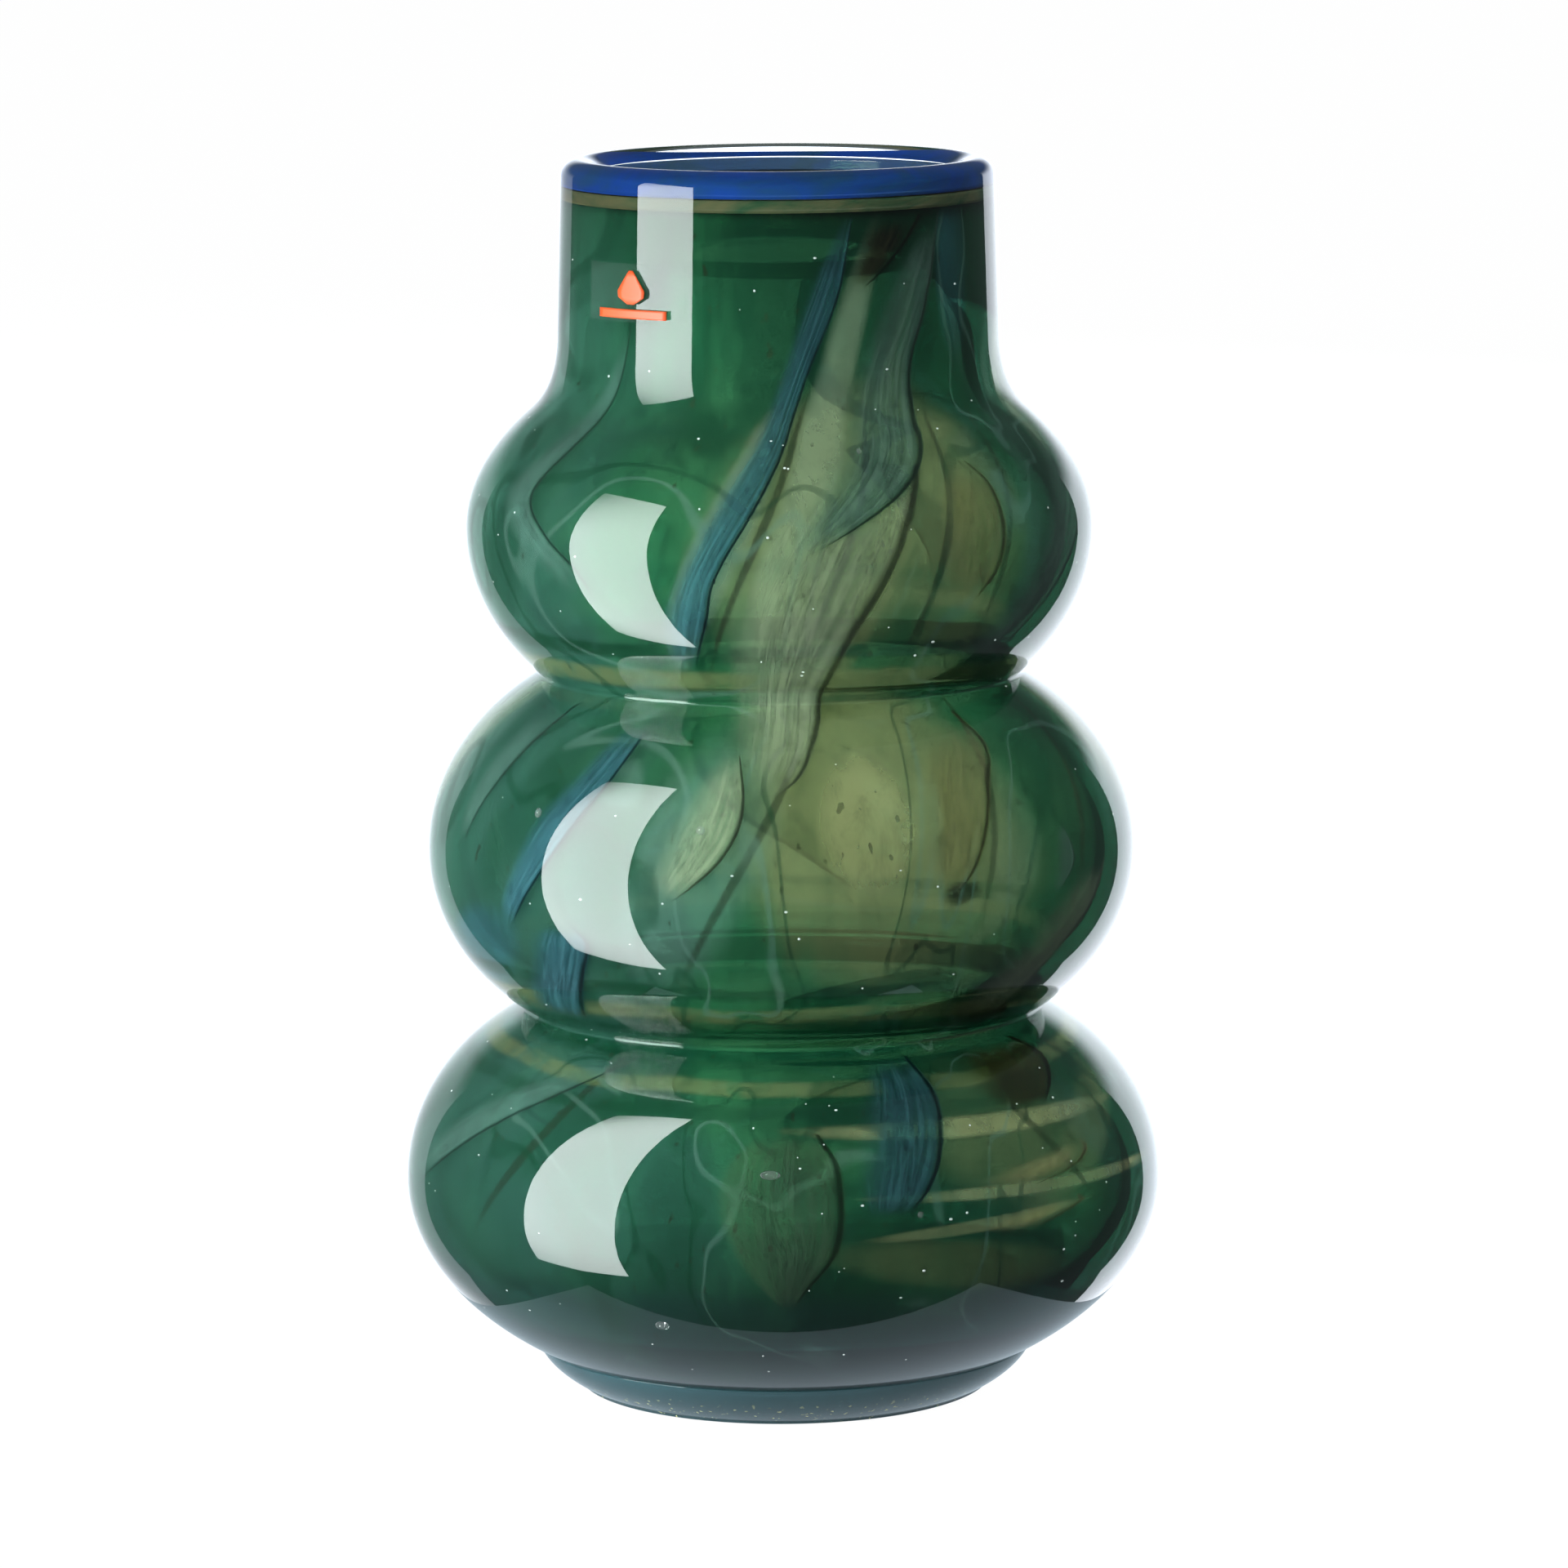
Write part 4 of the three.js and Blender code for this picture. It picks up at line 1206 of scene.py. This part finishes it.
def wall_fade(recipe):
    """The back wall is full low down, and fades out above and to the left."""
    x, _, z = recipe.place()
    across = recipe.smooth(x, *WALL_FADE_SIDE) * (1.0 - WALL_DIMMEST) + WALL_DIMMEST
    return recipe.smooth(z, *WALL_FADE_UP) * across


def studio():
    """White behind everything for the camera, and a dim room for the glass."""
    recipe = Recipe("studio", bpy.data.worlds)
    room = recipe.glow("ShaderNodeBackground", ROOM_TINT, ROOM_STRENGTH)
    white = recipe.glow("ShaderNodeBackground", WHITE, WHITE_STRENGTH)
    shader = recipe.mix(recipe.ray("Is Camera Ray"), room, white)
    return recipe.done(shader, "ShaderNodeOutputWorld")


FLOOR_HALF = 6.0
FLOOR_LEVEL = -0.3 * MM
FLOOR_GLOW = 0.94
WHITE_STRENGTH = 1.05
PLATE_TINT = (0.72, 0.88, 1.0)
PLATE_STRENGTH = 0.75
PLATE_HALF = 75.0 * MM
ROOM_TINT = (0.8, 0.95, 1.0)
ROOM_STRENGTH = 0.12
# The strip lamp stands close on the left: its corners in millimetres, and where it is dark and
# where it is full, as distances from its middle height.
STRIP = ((-249, -77, 360), (-95, -118, 265), (-95, -118, -20), (-249, -77, -65))
STRIP_TINT = (0.94, 1.0, 1.0)
STRIP_STRENGTH = 12.5
STRIP_MIDDLE = 0.12
STRIP_FADE = (0.30, 0.08)
WALL_DISTANCE = 1.3
WALL_HALF = 1.15
WALL_HEIGHTS = (-1.0, 0.75)
WALL_TINT = (0.86, 0.92, 1.0)
WALL_STRENGTH = 2.2
# The height, and the place from left to right, where the wall is dimmest and where it is full.
WALL_FADE_UP = (0.62, 0.30)
WALL_FADE_SIDE = (-0.85, 0.30)
WALL_DIMMEST = 0.3
# Each fill lamp's name, place and power.
FILLS = (("front fill", (-0.7, -1.5, 0.8), 40.0), ("rear fill", (1.0, 1.3, 0.7), 50.0))
FILL_SIZE = (1.6, 1.0)
FILL_TINT = (0.92, 1.0, 0.98)
# The eye stands in front of the vase, looks down on it a little, and is turned a hair.
EYE = (0.5 * MM, -1.44567, 0.35383)
EYE_TIP = math.radians(90.0 - 9.074)
EYE_ROLL = math.radians(-0.36)
LENS = 165.62
SENSOR = 36.0
# How often light may turn before it is given up.
BOUNCES = {"max_bounces": 24, "transmission_bounces": 24, "transparent_max_bounces": 32,
           "glossy_bounces": 6, "diffuse_bounces": 3}


class VASE_OT_stage(bpy.types.Operator):
    """Make the floor, the lamps and the camera"""

    bl_idname = "vase.stage"
    bl_label = "Stage"

    def execute(self, context):
        scene = context.scene
        floor = [(x * FLOOR_HALF, y * FLOOR_HALF, FLOOR_LEVEL)
                 for x, y in ((-1, -1), (1, -1), (1, 1), (-1, 1))]
        stage_sheet("floor", floor, paper())
        scene.world = studio()
        lamp_sheet("left strip", [Vector(corner) * MM for corner in STRIP],
                   diffuser("strip cloth", STRIP_TINT, STRIP_STRENGTH, strip_fade))
        low, high = WALL_HEIGHTS
        wall = [(x * WALL_HALF, WALL_DISTANCE, z)
                for x, z in ((-1, low), (1, low), (1, high), (-1, high))]
        lamp_sheet("back wall", wall, diffuser("wall cloth", WALL_TINT, WALL_STRENGTH, wall_fade))
        for name, place, energy in FILLS:
            self.fill_lamp(scene, name, Vector(place), energy)
        self.place_camera(scene)
        scene.view_settings.view_transform = "Standard"
        for name, count in BOUNCES.items():
            setattr(scene.cycles, name, count)
        scene.cycles.caustics_refractive = False
        return {"FINISHED"}

    def place_camera(self, scene):
        """The eye, a long way off behind a long lens."""
        lens = bpy.data.cameras.new("camera")
        lens.lens = LENS
        lens.sensor_width = SENSOR
        camera = bpy.data.objects.new("camera", lens)
        scene.collection.objects.link(camera)
        camera.rotation_mode = "QUATERNION"
        tip = Quaternion((1.0, 0.0, 0.0), EYE_TIP)
        camera.rotation_quaternion = tip @ Quaternion((0.0, 0.0, 1.0), EYE_ROLL)
        camera.location = EYE
        scene.camera = camera

    def fill_lamp(self, scene, name, place, energy):
        """A broad soft lamp that lights the milky glass and is not mirrored."""
        lamp = bpy.data.lights.new(name, "AREA")
        lamp.shape = "RECTANGLE"
        lamp.size, lamp.size_y = FILL_SIZE
        lamp.energy = energy
        lamp.color = FILL_TINT
        holder = bpy.data.objects.new(name, lamp)
        scene.collection.objects.link(holder)
        holder.location = place
        holder.rotation_mode = "QUATERNION"
        towards = Vector((0.0, 0.0, VASE_HEIGHT / 2)) - place
        holder.rotation_quaternion = towards.to_track_quat("-Z", "Y")
        holder.visible_glossy = False
        holder.visible_transmission = False


class VASE_PT_panel(bpy.types.Panel):
    """Lists the vase's makers and sizes"""

    bl_label = "Art Glass Vase"
    bl_idname = "VASE_PT_panel"
    bl_space_type = "VIEW_3D"
    bl_region_type = "UI"
    bl_category = "Vase"

    def draw(self, context):
        for maker in MAKERS:
            self.layout.operator(maker.bl_idname)
        for group in (context.scene.vase_shape, context.scene.vase_colours):
            column = self.layout.column()
            for name in group.bl_rna.properties.keys():
                if name not in ("rna_type", "name"):
                    column.prop(group, name)


MAKERS = (VASE_OT_stage, VASE_OT_foot, VASE_OT_core, VASE_OT_casing, VASE_OT_lip_rings,
          VASE_OT_upper_front, VASE_OT_right_side, VASE_OT_left_side, VASE_OT_lower_bulge,
          VASE_OT_back, VASE_OT_label, VASE_OT_bubbles)
CLASSES = (VaseShape, VaseColours, *MAKERS, VASE_PT_panel)


def register():
    for item in CLASSES:
        bpy.utils.register_class(item)
    bpy.types.Scene.vase_shape = bpy.props.PointerProperty(type=VaseShape)
    bpy.types.Scene.vase_colours = bpy.props.PointerProperty(type=VaseColours)


def unregister():
    del bpy.types.Scene.vase_shape
    del bpy.types.Scene.vase_colours
    for item in reversed(CLASSES):
        bpy.utils.unregister_class(item)


def main():
    """Makes the whole vase and its stage."""
    register()
    for maker in MAKERS:
        group, name = maker.bl_idname.split(".")
        getattr(getattr(bpy.ops, group), name)()


if __name__ == "__main__":
    main()
